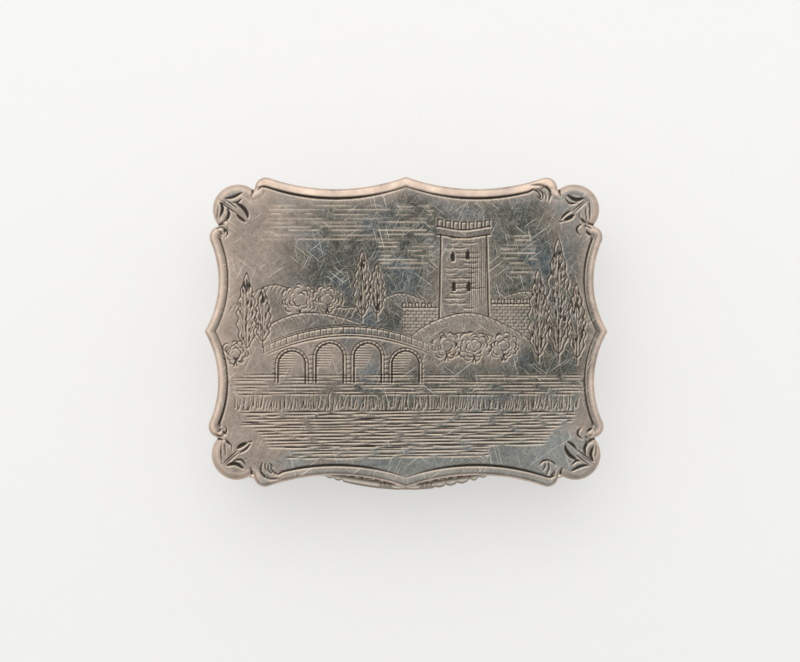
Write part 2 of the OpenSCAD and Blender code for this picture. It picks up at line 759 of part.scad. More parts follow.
base_plate();
body_wall();
bezel();
grille_ledge();
box_hinge_bearer();
lid_knuckle(0);  // box_hinge_knuckle_1
lid_knuckle(2);  // box_hinge_knuckle_2
lid_knuckle(4);  // box_hinge_knuckle_3
hinge_pin();
grille_hinge_bearer();
grille_side_knuckle(0);  // grille_box_knuckle_1
grille_side_knuckle(2);  // grille_box_knuckle_2
grille_pin();
sponge();
lid_top();
lid_rim();
lid_hinge_bearer();
lid_knuckle(1);  // lid_hinge_knuckle_1
lid_knuckle(3);  // lid_hinge_knuckle_2
thumbpiece();
grille_plate();
grille_side_knuckle(1);  // grille_knuckle
grille_lift_tab();
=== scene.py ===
"""Looks of a silver vinaigrette: engraved lid, cast thumbpiece, gilt grille and sponge."""

import math

import bpy
import numpy as np
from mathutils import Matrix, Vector
from mathutils.geometry import delaunay_2d_cdt


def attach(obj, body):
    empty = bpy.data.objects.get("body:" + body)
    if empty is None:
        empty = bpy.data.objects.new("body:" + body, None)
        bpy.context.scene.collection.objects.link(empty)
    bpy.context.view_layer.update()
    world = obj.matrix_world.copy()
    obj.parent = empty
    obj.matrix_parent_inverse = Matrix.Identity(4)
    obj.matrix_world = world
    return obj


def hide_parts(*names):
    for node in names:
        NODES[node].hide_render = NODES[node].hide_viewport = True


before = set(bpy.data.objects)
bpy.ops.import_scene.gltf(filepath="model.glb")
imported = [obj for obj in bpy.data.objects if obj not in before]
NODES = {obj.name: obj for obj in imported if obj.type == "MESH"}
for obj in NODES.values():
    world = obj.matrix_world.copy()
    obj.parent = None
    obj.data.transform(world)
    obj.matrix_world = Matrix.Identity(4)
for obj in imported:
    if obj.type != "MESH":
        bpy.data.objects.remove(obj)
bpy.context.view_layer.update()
MM = 0.001

# Plan of the lid, in mm: each side has a point in its middle and two sweeps, which dip and
# end in a shoulder that stands back by the drop
HALF_L, HALF_W = 22.0, 17.0
HALF = np.array([HALF_L, HALF_W])
LONG_DIP, SHORT_DIP = 1.36, 1.5
LONG_DROP, SHORT_DROP = 0.08, 0.5
SHOULDER_IN, SHOULDER_R = 6.65, 1.22
LOBE_R, LOBE_IN, NICK_R = 2.75, 3.6, 0.15

# Side walls, in mm
WALL_INSET, WALL_CORNER_R = 0.6, 6.1
LID_WALL_IN, LID_WALL_BACK, LID_WALL_GAP = 1.02, 14.37, 0.03

# Section of the lid, in mm: heights above its underside and insets from its edge
LID_UNDER = 11.24
EDGE_IN, EDGE_H = 0.15, 0.35
ROLL_RISE, ROLL_RUN = 0.58, 0.3
CROWN_RISE, CROWN_AT = 0.05, 0.52
GROOVE_DROP, GROOVE_AT = 0.07, 0.9
LOBE_RISE, LOBE_RUN = 0.6, 0.8
DOME_RISE, DOME_R = 0.12, LOBE_R + 0.4
FIELD_H = 0.86
RINGS = [0, 0.02, 0.06, 0.12, 0.2, 0.3, 0.4, 0.5, 0.6, 0.7, 0.8, 0.88, 0.95, 1.0, 1.06, 1.16]
RING_IN = RINGS[-1]
TOP_FROM, CUT_FROM = 0.1, 0.15

# Points along each run of the outline, and the share of the border's roll that it has
SIDE_STEPS, BACK_STEPS, LOBE_STEPS = 40, 64, 48
SHOULDER_STEPS, NICK_STEPS, CORNER_STEPS = 14, 10, 24
SHOULDER_ROLL, NICK_ROLL = 0.85, 0.1

# Grids, in mm: the field's mesh, and the finer one that the engraving is drawn on
GRID, PITCH = 0.09, 0.04
NX = int(2 * HALF_L / PITCH) + 1
NY = int(2 * HALF_W / PITCH) + 1


# Plan of the lid
def polar(c, r, a):
    return np.array(c) + r * np.array([math.cos(a), math.sin(a)])


def heading(a, b):
    return math.atan2(b[1] - a[1], b[0] - a[0])


def arc(c, r, a0, a1, n):
    """Points along an arc, without its end."""
    return [polar(c, r, a0 + (a1 - a0) * i / n) for i in range(n)]


def crossing(c1, r1, c2, r2):
    """Where two circles meet, on the left of the way from c1 to c2."""
    c1, c2 = np.array(c1), np.array(c2)
    gap = np.linalg.norm(c2 - c1)
    u = (c2 - c1) / gap
    x = (gap * gap + r1 * r1 - r2 * r2) / (2 * gap)
    return c1 + x * u + math.sqrt(r1 * r1 - x * x) * np.array([-u[1], u[0]])


def sweep_shape(shoulder, dip, drop):
    """Where a side's sweep is deepest, and its radius, if it runs smoothly into the shoulder."""
    c = shoulder * shoulder - (dip - drop) * (2 * SHOULDER_R + drop)
    deep = c / (shoulder + math.sqrt(shoulder * shoulder - drop / dip * c))
    return deep, (deep ** 2 + dip ** 2) / (2 * dip)


LONG_SHOULDER = (HALF_L - SHOULDER_IN, HALF_W - LONG_DROP - SHOULDER_R)
SHORT_SHOULDER = (HALF_L - SHORT_DROP - SHOULDER_R, HALF_W - SHOULDER_IN)
LONG_DEEP, LONG_R = sweep_shape(LONG_SHOULDER[0], LONG_DIP, LONG_DROP)
SHORT_DEEP, SHORT_R = sweep_shape(SHORT_SHOULDER[1], SHORT_DIP, SHORT_DROP)
LONG_CENTRE = (LONG_DEEP, HALF_W - LONG_DIP + LONG_R)
SHORT_CENTRE = (HALF_L - SHORT_DIP + SHORT_R, SHORT_DEEP)
LOBE_CENTRE = HALF - LOBE_IN
LONG_NICK = crossing(LONG_SHOULDER, SHOULDER_R + NICK_R, LOBE_CENTRE, LOBE_R + NICK_R)
SHORT_NICK = crossing(LOBE_CENTRE, LOBE_R + NICK_R, SHORT_SHOULDER, SHOULDER_R + NICK_R)
WALL_CORNER = crossing(SHORT_CENTRE, SHORT_R + WALL_CORNER_R, LONG_CENTRE, LONG_R + WALL_CORNER_R)


def side_sweep(d, end=SHORT_SHOULDER):
    """The sweep of a short side, from its point to the arc round the end."""
    start = math.pi + math.asin(SHORT_DEEP / (SHORT_R + d))
    return arc(SHORT_CENTRE, SHORT_R + d, start, heading(SHORT_CENTRE, end) % math.tau, SIDE_STEPS)


def back_sweep(d, start=LONG_SHOULDER):
    """The sweep of a long side, from the arc round the start to its point."""
    end = 1.5 * math.pi - math.asin(LONG_DEEP / (LONG_R + d))
    return arc(LONG_CENTRE, LONG_R + d, heading(LONG_CENTRE, start) % math.tau, end, BACK_STEPS)


def back_point(d):
    return [np.array([0, LONG_CENTRE[1] - math.sqrt((LONG_R + d) ** 2 - LONG_DEEP ** 2)])]


def turn(c, r, a, b, n, clockwise=False):
    """An arc round c, from the side of a to the side of b."""
    a0, a1 = heading(c, a), heading(c, b)
    if clockwise:
        a0 = a1 + (a0 - a1) % math.tau
    else:
        a1 = a0 + (a1 - a0) % math.tau
    return arc(c, r, a0, a1, n)


def lid_quarter(d):
    """Points of one quarter of the lid's outline, inset by d, and how much roll each has."""
    runs = [
        (side_sweep(d), 1),
        (turn(SHORT_SHOULDER, SHOULDER_R - d, SHORT_CENTRE, SHORT_NICK, SHOULDER_STEPS), SHOULDER_ROLL),
        (turn(SHORT_NICK, NICK_R + d, SHORT_SHOULDER, LOBE_CENTRE, NICK_STEPS, True), NICK_ROLL),
        (turn(LOBE_CENTRE, LOBE_R - d, SHORT_NICK, LONG_NICK, LOBE_STEPS), 0),
        (turn(LONG_NICK, NICK_R + d, LOBE_CENTRE, LONG_SHOULDER, NICK_STEPS, True), NICK_ROLL),
        (turn(LONG_SHOULDER, SHOULDER_R - d, LONG_NICK, LONG_CENTRE, SHOULDER_STEPS), SHOULDER_ROLL),
        (back_sweep(d), 1),
        (back_point(d), 1),
    ]
    points = np.array([p for run, _ in runs for p in run])
    rolls = np.array([w for run, w in runs for _ in run], float)
    return points, rolls


def whole(quarter):
    """A whole outline from its quarter."""
    upper = np.concatenate([quarter, (quarter * [-1, 1])[::-1][1:]])
    return np.concatenate([upper, (upper * [1, -1])[::-1][1:-1]])


def lid_outline(d):
    points, rolls = lid_quarter(d)
    upper = np.concatenate([rolls, rolls[::-1][1:]])
    return whole(points), np.concatenate([upper, upper[::-1][1:-1]])


def lid_inside():
    """Outline of the space inside the lid's side wall, which is straight at the back."""
    d = LID_WALL_IN + LID_WALL_GAP
    corner = turn(WALL_CORNER, WALL_CORNER_R - d, SHORT_CENTRE, LONG_CENTRE, CORNER_STEPS)
    quarter = side_sweep(d, WALL_CORNER) + corner + back_sweep(d, WALL_CORNER) + back_point(d)
    return np.minimum(whole(np.array(quarter)), [HALF_L, LID_WALL_BACK - LID_WALL_GAP])


def inside(points, loop):
    hit = np.zeros(len(points), bool)
    x, y = points.T
    for a, b in zip(loop, np.roll(loop, -1, 0)):
        if a[1] == b[1]:
            continue
        crosses = (a[1] > y) != (b[1] > y)
        hit ^= crosses & (x < (b[0] - a[0]) * (y - a[1]) / (b[1] - a[1]) + a[0])
    return hit


# Engraving: each line is a run of round tool marks, in rows of x, y, radius, depth, darkness
# and paleness; rubs are the places, with their radii, where the tarnish is rubbed thin
marks = []
rubs = []
rng = np.random.default_rng(7)
TAPERS = {
    "both": lambda t: np.sqrt(np.sin(np.pi * np.clip(t, 0.004, 0.996))),
    "tail": lambda t: np.sqrt(1 - 0.98 * t),
    "hook": lambda t: np.minimum(1, 0.1 + t / 0.06) * np.sqrt(1 - 0.97 * t),
    "swing": lambda t: (np.minimum(1, 0.1 + t / 0.02) * (0.6 + 0.4 * np.sin(np.pi * t))
                        * np.sqrt(1 - 0.93 * t ** 4)),
    "none": np.ones_like,
}


def spline(points, n=24):
    """A smooth curve through the points."""
    p = np.array(points, float)
    p = np.concatenate([[2 * p[0] - p[1]], p, [2 * p[-1] - p[-2]]])
    t = np.linspace(0, 1, n, endpoint=False)[:, None]
    runs = [(2 * b + (c - a) * t + (2 * a - 5 * b + 4 * c - d) * t * t
             + (-a + 3 * b - 3 * c + d) * t ** 3) / 2 for a, b, c, d in zip(p, p[1:], p[2:], p[3:])]
    return np.concatenate(runs + [p[-2:-1]])


def cut(points, width, depth, taper="both", dark=1.0, pale=0.0):
    """Engraves a line; taper says which of its ends run out thin."""
    p = np.array(points, float)
    along = np.concatenate([[0], np.cumsum(np.linalg.norm(np.diff(p, axis=0), axis=1))])
    n = max(2, int(along[-1] / PITCH) + 1)
    t = np.linspace(0, 1, n)
    x, y = (np.interp(t * along[-1], along, v) for v in p.T)
    swell = TAPERS[taper](t)
    tones = np.full(n, dark), np.full(n, pale)
    marks.append(np.stack([x, y, width / 2 * swell, depth * swell, *tones], 1))


def clear(loop):
    """Wipes the marks inside the loop, as a nearer thing hides what is behind it."""
    loop = np.array(loop, float)
    low, high = loop.min(0), loop.max(0)
    for i, stroke in enumerate(marks):
        xy = stroke[:, :2]
        if len(xy) and (xy.max(0) > low).all() and (xy.min(0) < high).all():
            marks[i] = stroke[~inside(xy, loop)]


def clear_box(x0, y0, x1, y1):
    clear([(x0, y0), (x1, y0), (x1, y1), (x0, y1)])


# Ornament of the corner at +X +Y: strokes as (width, points), with points in mm from the
# lid's centre for the curls, and in lobe radii from the lobe's centre for the sprigs
CORNERS = [(-1, 1), (1, 1), (-1, -1), (1, -1)]
LINE_IN, LINE_JOIN = 0.08, 0.3
LONG_LINE_DEPTH, SHORT_LINE_DEPTH, CURL_DEPTH = 0.16, 0.13, 0.09
NICK_CUT_L, NICK_CUT_W, NICK_CUT_DEPTH = 1.1, 0.28, 0.2
OPEN_END = [(16.2, 15.35), (16.05, 15.68), (15.75, 15.86)]
COMMA_END = [(14.72, 14.5), (14.66, 14.9), (14.4, 15.3), (13.9, 15.56)]
SHORT_END = [(20.12, 10.75), (20.2, 10.5)]
LONG_COMMAS = [
    (0.28, [(13.6, 16.05), (14.9, 15.98), (15.75, 15.3), (15.6, 14.2)]),
    (0.2, [(14.4, 15.6), (14.95, 15.1), (14.95, 14.45)]),
    (0.14, [(14.4, 14.85), (14.6, 14.55), (14.9, 14.35)]),
    (0.14, [(15.1, 15.3), (15.3, 14.8), (15.25, 14.3)]),
]
LONG_FLEUR = [
    (0.2, [(15.9, 14.3), (15.5, 14.05), (14.9, 14.1), (14.4, 14.55)]),
    (0.18, [(16.3, 14.65), (15.9, 14.2), (15.6, 14.1)]),
    (0.16, [(15.45, 14.2), (15.5, 14.9), (15.2, 15.7)]),
    (0.22, [(16.2, 15.1), (15.9, 15.5), (15.6, 16.0)]),
    (0.14, [(15.05, 14.25), (15.1, 14.7), (14.8, 15.2)]),
]
SHORT_EAR = [
    (0.2, [(20.75, 11.15), (20.2, 11.42), (19.6, 11.05), (19.55, 10.55), (19.8, 10.3)]),
    (0.2, [(20.5, 11.0), (20.25, 10.8), (20.05, 10.6)]),
    (0.14, [(19.95, 11.15), (19.8, 10.85), (19.85, 10.55)]),
]
SHORT_CURL = [
    (0.16, [(19.4, 12.05), (19.8, 11.98), (20.15, 11.72)]),
    (0.24, [(19.2, 11.75), (18.7, 11.35), (18.7, 10.9), (19.05, 10.45)]),
    (0.18, [(19.45, 11.5), (19.9, 11.45), (20.25, 11.2)]),
    (0.3, [(19.65, 10.9), (19.9, 10.75), (20.15, 10.5)]),
]
SPRIG_A = [
    (0.3, [(0.52, 0.42), (0.2, 0.47), (-0.18, 0.66)]),
    (0.2, [(0.21, 0.27), (0.02, 0.26), (-0.15, 0.41)]),
    (0.4, [(0.07, 0.24), (-0.21, 0.05), (-0.37, -0.18), (-0.41, -0.38)]),
    (0.3, [(0.04, -0.21), (-0.12, -0.38), (-0.32, -0.52)]),
    (0.13, [(0.49, 0.38), (0.25, 0.2), (0.01, 0.01)]),
    (0.15, [(0.71, 0.29), (0.35, 0.03), (-0.04, -0.24)]),
    (0.1, [(0.75, 0.38), (0.45, 0.2), (0.2, 0.02)]),
    (0.3, [(0.71, 0.27), (0.6, 0.01), (0.73, -0.38)]),
    (0.32, [(0.41, 0.02), (0.35, -0.2), (0.45, -0.42), (0.66, -0.55)]),
    (0.12, [(0.77, 0.13), (0.8, -0.1), (0.82, -0.38)]),
]
SPRIG_B = [
    (0.4, [(0.41, 0.44), (0.05, 0.37), (-0.29, 0.56)]),
    (0.2, [(0.13, 0.25), (-0.18, 0.22), (-0.38, 0.44)]),
    (0.12, [(0.5, 0.44), (0.2, 0.16), (-0.08, -0.08)]),
    (0.12, [(0.55, 0.38), (0.25, 0.1), (-0.03, -0.16)]),
    (0.22, [(-0.12, -0.06), (-0.35, -0.2), (-0.55, -0.42)]),
    (0.4, [(-0.01, -0.23), (-0.2, -0.36), (-0.42, -0.46)]),
    (0.14, [(-0.46, -0.5), (-0.62, -0.5)]),
    (0.1, [(0.58, 0.36), (0.62, 0.0), (0.61, -0.49)]),
    (0.12, [(0.44, 0.08), (0.46, -0.2), (0.5, -0.49)]),
    (0.26, [(0.27, -0.38), (0.36, -0.5), (0.46, -0.6)]),
    (0.12, [(0.19, -0.15), (0.2, -0.32), (0.27, -0.46)]),
]
# At each corner: the long line's end and the widths of the long and short lines; curls; sprig
BORDER_RUNS = [
    (OPEN_END, 0.3, 0.16), (COMMA_END, 0.26, 0.2), (COMMA_END, 0.28, 0.24), (OPEN_END, 0.28, 0.2)]
CURLS = [SHORT_EAR, LONG_COMMAS + SHORT_CURL, LONG_COMMAS + SHORT_EAR, LONG_FLEUR + SHORT_CURL]
SPRIGS = [SPRIG_A, SPRIG_B, SPRIG_B, SPRIG_A]


def border_lines():
    """The dark line inside the border, in eight runs, and a short cut inwards from each nick."""
    d = RING_IN - LINE_IN
    long_line = np.array(back_sweep(d) + back_point(d))
    short_line = np.array(SHORT_END + side_sweep(d)[::-1])
    for corner, (end, long_w, short_w) in zip(CORNERS, BORDER_RUNS):
        start = spline(end, 8)
        rest = long_line[long_line[:, 0] < start[-1, 0] - LINE_JOIN]
        cut(np.concatenate([start, rest]) * corner, long_w, LONG_LINE_DEPTH, "swing")
        cut(short_line * corner, short_w, SHORT_LINE_DEPTH, "hook")
        for nick, shoulder in ((LONG_NICK, LONG_SHOULDER), (SHORT_NICK, SHORT_SHOULDER)):
            inward = (LOBE_CENTRE + shoulder) / 2 - nick
            inward /= np.linalg.norm(inward)
            run = np.array([nick + inward * NICK_R, nick + inward * NICK_CUT_L])
            cut(run * corner, NICK_CUT_W, NICK_CUT_DEPTH, "tail")


def corner_ornament():
    """Curls at the ends of the border lines and a three-leaved sprig on each lobe."""
    for corner, curls, sprig in zip(CORNERS, CURLS, SPRIGS):
        for width, points in curls:
            cut(spline(points, 10) * corner, width, CURL_DEPTH)
        for width, points in sprig:
            leaf = LOBE_CENTRE + LOBE_R * np.array(points)
            cut(spline(leaf, 10) * corner, 1.2 * width, 0.05 + 0.15 * width)


# River view: places and sizes in mm from the lid's centre
VIEW_WIDTH, VIEW_DARK = 0.88, 0.95
LOBE_CLEAR = 3.4
TRUNK_H, CROWN_SQUASH = 0.6, 0.85
SKY = {"width": 0.11, "depth": 0.02, "gap": 0.5, "dark": 0.25, "pale": 1.0}
FAR_HILLS = [
    ([(-19, 2.8), (-15, 5.0), (-12, 4.4), (-7, 2.6), (-3, 3.4)], -0.4),
    ([(-3, 3.4), (-0.5, 4.2), (2.5, 3.2)], 0.5),
    ([(10, 3.6), (13, 4.4), (16, 3.6), (19.5, 2.0)], 0.5),
]
NEAR_HILLS = [
    ([(-19, -2.6), (-14, 1.2), (-9.5, 2.0), (-4, 0.4), (-1.0, -2.6)], 0.5),
    ([(-1.5, -2.2), (2.6, 0.9), (7, 2.0), (11, 0.6), (15.5, -2.2)], 0.5),
    ([(0.5, -2.6), (4, -0.6), (8, -0.2), (12, -1.6)], 0.5),
]
FAR_POPLARS = [(-4.8, 1.2, 7.6, 0.85), (-3.2, 1.4, 6.0, 0.75)]
NEAR_POPLARS = [(16.6, -3.0, 13.2, 1.25), (14.4, -3.2, 10.0, 1.0), (18.6, -3.4, 8.6, 0.9),
                (-15.6, -1.6, 6.4, 0.8), (-17.4, -2.4, 8.8, 1.0)]
FAR_TREES = [(-11.6, 1.6, 1.6), (-8.6, 1.9, 1.3)]
NEAR_TREES = [(4.4, -3.2, 1.3), (10.6, -3.2, 1.3), (7.4, -3.4, 1.5), (-18.6, -3.8, 1.1)]


def hatch(x0, x1, y, rows, pitch, width, depth, gap=0.3, lean=0.0, dark=1.0, pale=0.0):
    """Rows of broken, nearly level lines that keep clear of the lobes."""
    for row in range(rows):
        level = y + row * pitch
        x = x0 + rng.uniform(0, 1.5)
        spare = LOBE_CLEAR ** 2 - (abs(level) - LOBE_CENTRE[1]) ** 2
        limit = LOBE_CENTRE[0] - math.sqrt(spare) if spare > 0 else x1
        x, stop = max(x, -limit), min(x1, limit)
        while x < stop:
            end = min(x + rng.uniform(1.5, 6.5), stop)
            middle = (x + end) / 2
            yy = level + rng.normal(0, 0.04)
            bend = rng.normal(0, 0.03)
            run = [(x, yy + lean * x), (middle, yy + lean * middle + bend), (end, yy + lean * end)]
            cut(spline(run, 6), width, depth, "both", dark, pale)
            x = end + rng.uniform(0.05, gap * 4)


def oval(c, r, a):
    return c + r * np.array([math.cos(a), CROWN_SQUASH * math.sin(a)])


def tree(x, y, size):
    """A round-headed tree in scalloped strokes."""
    fork = y + TRUNK_H
    crown = np.array([x, fork + size * 0.8])
    clear([oval(crown, size + 0.25, a) for a in np.linspace(0, math.tau, 24, endpoint=False)])
    cut(spline([(x - 0.15, y), (x, fork), (x - 0.1, y + TRUNK_H * 1.8)]), 0.2, 0.06, "tail")
    cut(spline([(x + 0.2, y), (x + 0.1, fork), (x + 0.3, y + TRUNK_H * 1.7)]), 0.16, 0.05, "tail")
    rubs.append((crown, size * 1.15))
    for ring in range(4):
        radius = size * (1 - ring * 0.25)
        count = max(4, int(radius * 7))
        for i in range(count):
            a = math.tau * (i + rng.uniform(-0.3, 0.3)) / count
            c = oval(crown, radius, a)
            r = rng.uniform(0.28, 0.45)
            leaf = [polar(c, r, a + b) for b in (-1.4, -0.7, 0, 0.7, 1.4)]
            cut(spline(leaf, 5), rng.uniform(0.11, 0.18), 0.05)


def spindle(t):
    """Half width of a poplar along its height, both as shares."""
    return np.sin(np.pi * t ** 0.75) ** 0.8


def poplar(x, y, h, w):
    """A tall narrow tree in upright strokes."""
    foot_y = y + 0.5
    t = np.linspace(0, 1, 26)
    edge = w * spindle(t) * (1 + 0.16 * np.cos(t * 40))
    left, right = (np.column_stack([x + side * edge, foot_y + t * (h - 0.5)]) for side in (-1, 1))
    clear(np.concatenate([left, right[::-1]]))
    for side in (left, right):
        cut(side, 0.13, 0.05, "none")
    cut([(x, y - 0.2), (x, y + h * 0.9)], 0.12, 0.05, "tail")
    for _ in range(int(h * w * 9)):
        t = rng.uniform(0.04, 0.86)
        u = rng.uniform(-0.8, 0.8) * w * spindle(t)
        foot = np.array([x + u * 0.8, foot_y + t * (h - 0.5)])
        tip = foot + [u * 0.25, rng.uniform(0.4, 0.8)]
        cut(spline([foot, (foot + tip) / 2 + [u * 0.1, 0], tip], 4), rng.uniform(0.09, 0.14), 0.04)


def hill(points, slope):
    """A hill's outline with short strokes down its slope."""
    line = spline(points, 12)
    foot = line[:, 1].min() - 1
    clear(np.concatenate([line, [(line[-1, 0], foot), (line[0, 0], foot)]]))
    cut(line, 0.13, 0.05)
    for p in line[::2]:
        length = rng.uniform(0.5, 1.6)
        q = p + [slope * length, -length]
        cut(spline([p + [0, -0.15], (p + q) / 2 + [0.1 * slope, 0.05], q], 4), 0.1, 0.035, "tail")


def merlon(x, y, w, h, width, depth):
    cut([(x, y), (x, y + h), (x + w, y + h), (x + w, y)], width, depth, "none")


def battlement(x, y, w, merlons=7, parapet=0.9):
    """The keep's round top: two bowed rings and a row of merlons."""
    top = w * 0.54
    for level, bow in ((y, 0.35), (y + parapet, 0.4)):
        cut(spline([(x - top, level), (x, level - bow), (x + top, level)]), 0.18, 0.06, "none")
    for i in range(merlons):
        left = x - top + 2 * top * (i + 0.12) / (merlons - 0.2)
        bow = 0.3 * (1 - ((left - x) / top) ** 2)
        merlon(left, y + parapet - bow, 2 * top / merlons * 0.6, 0.75, 0.14, 0.05)


def keep(x, y, w, h):
    """A round keep with courses of stone, shade on its right and windows."""
    course, slit_gap = 0.55, 0.13
    clear_box(x - w / 2, y, x + w / 2, y + h + 1.6)
    rubs.extend(((x, y + h * level), w) for level in (0.5, 0.15))
    for side in (-1, 1):
        cut([(x + side * w / 2, y), (x + side * w / 2 * 0.92, y + h)], 0.2, 0.07, "none")
    battlement(x, y + h, w)
    for row in range(int(h / course)):
        yy = y + 0.5 + row * course
        for _ in range(3):
            a = x + rng.uniform(-0.45, 0.1) * w
            b = min(a + rng.uniform(0.15, 0.4) * w, x + w * 0.46)
            cut(spline([(a, yy), ((a + b) / 2, yy - 0.1), (b, yy)], 4), 0.11, 0.035)
    for i in range(9):
        xx = x + w * (0.12 + 0.04 * i)
        cut([(xx, y + 0.3 + 0.2 * i), (xx - 0.05, y + h - 0.3)], 0.1, 0.04)
    for across, up in ((-0.22, 0.7), (0.08, 0.72), (-0.2, 0.36), (0.1, 0.36)):
        sill = y + up * h
        for k in (-1, 0, 1):
            slit = x + across * w + slit_gap * k
            cut([(slit, sill), (slit, sill + 0.9 - 0.2 * abs(k))], 0.2, 0.1, "none")


def curtain_wall(x0, x1, y, h):
    """A low wall with a battlement and courses of stone."""
    course, stone = 0.36, 0.6
    clear_box(x0, y, x1, y + h)
    cut([(x0, y + h), (x1, y + h)], 0.14, 0.05, "none")
    for x in np.arange(x0, x1 - 0.3, 0.7):
        merlon(x, y + h, 0.4, 0.5, 0.11, 0.045)
    for row in range(int(h / course)):
        yy = y + 0.2 + row * course
        cut([(x0, yy), (x1, yy)], 0.08, 0.03, "none", 0.7)
        for x in np.arange(x0 + stone / 2 * (row % 2), x1, stone):
            cut([(x, yy), (x, yy + 0.34)], 0.08, 0.03, "none", 0.7)
    rubs.append((((x0 + x1) / 2, y + h / 2), (x1 - x0) * 0.55))


def arch(x, top, low, span):
    """One arch of the bridge: its ring of stones, its shade and the courses beside it."""
    r, ring = span * 0.36, 0.32
    c = (x, top - r)
    for extra, width in ((0, 0.22), (ring, 0.12)):
        bow = [polar(c, r + extra, a) for a in np.linspace(math.pi, 0, 24)]
        cut([(x - r - extra, low)] + bow + [(x + r + extra, low)], width, 0.07, "none")
    for a in np.linspace(0.15, math.pi - 0.15, 11):
        cut([polar(c, r, a), polar(c, r + ring, a)], 0.09, 0.03, "none")
    for k in range(9):
        yy = top - 0.25 - k * 0.28
        half = math.sqrt(max(0.01, r * r - max(0, yy - c[1]) ** 2))
        cut([(x - half, yy), (x - half + half * (1.5 - 0.08 * k), yy)], 0.13, 0.07, "tail")
    for k in range(6):
        yy = low + 0.5 + k * 0.5
        for side in (-1, 1):
            cut([(x + side * (r + 0.4), yy), (x + side * span * 0.49, yy + 0.02)], 0.1, 0.035, "none")


def bridge(x0, x1, y, rise, arches):
    """A stone bridge with round arches and a parapet, over a strip of water."""
    span = (x1 - x0) / arches
    low = y - 3.4
    ends, parapet = 1.2, 1.2

    def deck(x):
        return y + rise * (1 - ((x - (x0 + x1) / 2) / (x1 - x0) * 2) ** 2)

    xs = np.linspace(x0 - ends, x1 + ends, 40)
    clear([(x, deck(x) + parapet) for x in xs] + [(x1 + ends, low), (x0 - ends, low)])
    for lift, width in ((0, 0.18), (0.28, 0.12), (1.0, 0.18), (parapet, 0.12)):
        cut([(x, deck(x) + lift) for x in xs], width, 0.06)
    for x in np.arange(x0 - 1, x1 + 1, 0.62):
        cut([(x, deck(x) + 0.32), (x, deck(x) + 0.95)], 0.09, 0.03, "none")
    for i in range(arches):
        x = x0 + span * (i + 0.5)
        rubs.append(((x, y - 0.4), span * 0.6))
        arch(x, deck(x) - 0.7, low, span)
    hatch(x0, x1, y - 4.2, 2, 0.3, 0.14, 0.05)


def reeds(x0, x1, y, count):
    for i in range(count):
        x = x0 + (x1 - x0) * i / (count - 1) + rng.normal(0, 0.08)
        foot = y + rng.normal(0, 0.12)
        bend = rng.normal(0.06, 0.08)
        tip = foot + rng.uniform(1.0, 1.7)
        cut(spline([(x, foot), (x + bend, foot + 0.6), (x + 2 * bend, tip)], 4), 0.12, 0.05, "tail")


def draw_all(draw, places):
    for place in places:
        draw(*place)


def landscape():
    """A plain river view, drawn from far to near."""
    hatch(-16.5, 3.0, 7.0, 16, 0.45, **SKY)
    hatch(9.8, 14.5, 6.0, 10, 0.5, **SKY)
    draw_all(hill, FAR_HILLS)
    draw_all(poplar, FAR_POPLARS)
    keep(6.3, 1.0, 5.4, 9.6)
    curtain_wall(9.3, 14.2, -0.4, 3.4)
    curtain_wall(-0.4, 3.4, -0.2, 2.8)
    draw_all(tree, FAR_TREES)
    draw_all(hill, NEAR_HILLS)
    rubs.extend(((x, -1.0), 3.4) for x in (3.0, 6.5, 10.0))
    bridge(-14.5, 2.0, -2.2, 1.7, 4)
    draw_all(poplar, NEAR_POPLARS)
    draw_all(tree, NEAR_TREES)
    hatch(-19.2, 19.2, -7.6, 9, 0.36, 0.13, 0.045, 0.35)
    clear_box(-19.2, -13.2, 19.2, -7.7)
    hatch(-18.5, 18.5, -12.4, 14, 0.34, 0.19, 0.065, 0.12, 0.012)
    hatch(-13.5, 9.0, -13.6, 4, 0.34, 0.17, 0.06, 0.15, 0.012)
    clear_box(-19.2, -8.55, 19.2, -7.0)
    reeds(-18.6, 18.6, -8.4, 150)


landscape()
for stroke in marks:
    stroke[:, 2] *= VIEW_WIDTH
    stroke[:, 4] *= VIEW_DARK
border_lines()
corner_ornament()


def engrave():
    """Depth, darkness and paleness of all marks, on a fine grid over the lid."""
    x, y, radius, deep, dark, pale = np.concatenate(marks).T
    fields = np.zeros((3, NX * NY))
    ix, iy = np.rint((np.column_stack([x, y]) + HALF) / PITCH).astype(int).T
    reach = int(radius.max() / PITCH) + 2
    for di in range(-reach, reach + 1):
        for dj in range(-reach, reach + 1):
            gx, gy = ix + di, iy + dj
            off = np.hypot(gx * PITCH - HALF_L - x, gy * PITCH - HALF_W - y)
            share = 1 - (off / np.maximum(radius, PITCH * 0.6)) ** 2
            ok = (share > 0) & (gx >= 0) & (gx < NX) & (gy >= 0) & (gy < NY)
            at = gx[ok] * NY + gy[ok]
            np.maximum.at(fields[0], at, share[ok] * deep[ok])
            np.maximum.at(fields[1], at, np.minimum(1, 1.6 * share[ok]) * dark[ok])
            np.maximum.at(fields[2], at, share[ok] * pale[ok])
    return fields.reshape(3, NX, NY)


def blurred(field, times):
    for _ in range(times):
        for axis in range(field.ndim):
            field = (np.roll(field, 1, axis) + 2 * field + np.roll(field, -1, axis)) / 4
    return field


def engraving():
    """Depth and darkness of the lines, and the bright rims beside them: rubbed bright on both sides,
    with a painted highlight on their front right side.
    """
    depth, dark, pale = engrave()
    depth, dark = blurred(depth, 1), blurred(dark, 1)
    # Painted highlight: a copy of the dark lines moved to their front right, where the wall of each cut
    # faces the light.
    lit_side = np.roll(dark, (2, -3), (0, 1))
    lips_and_highlight = np.clip(0.9 * blurred(lit_side, 3) + 1.1 * blurred(dark, 7) + pale, 0, 1)
    return depth, dark, lips_and_highlight


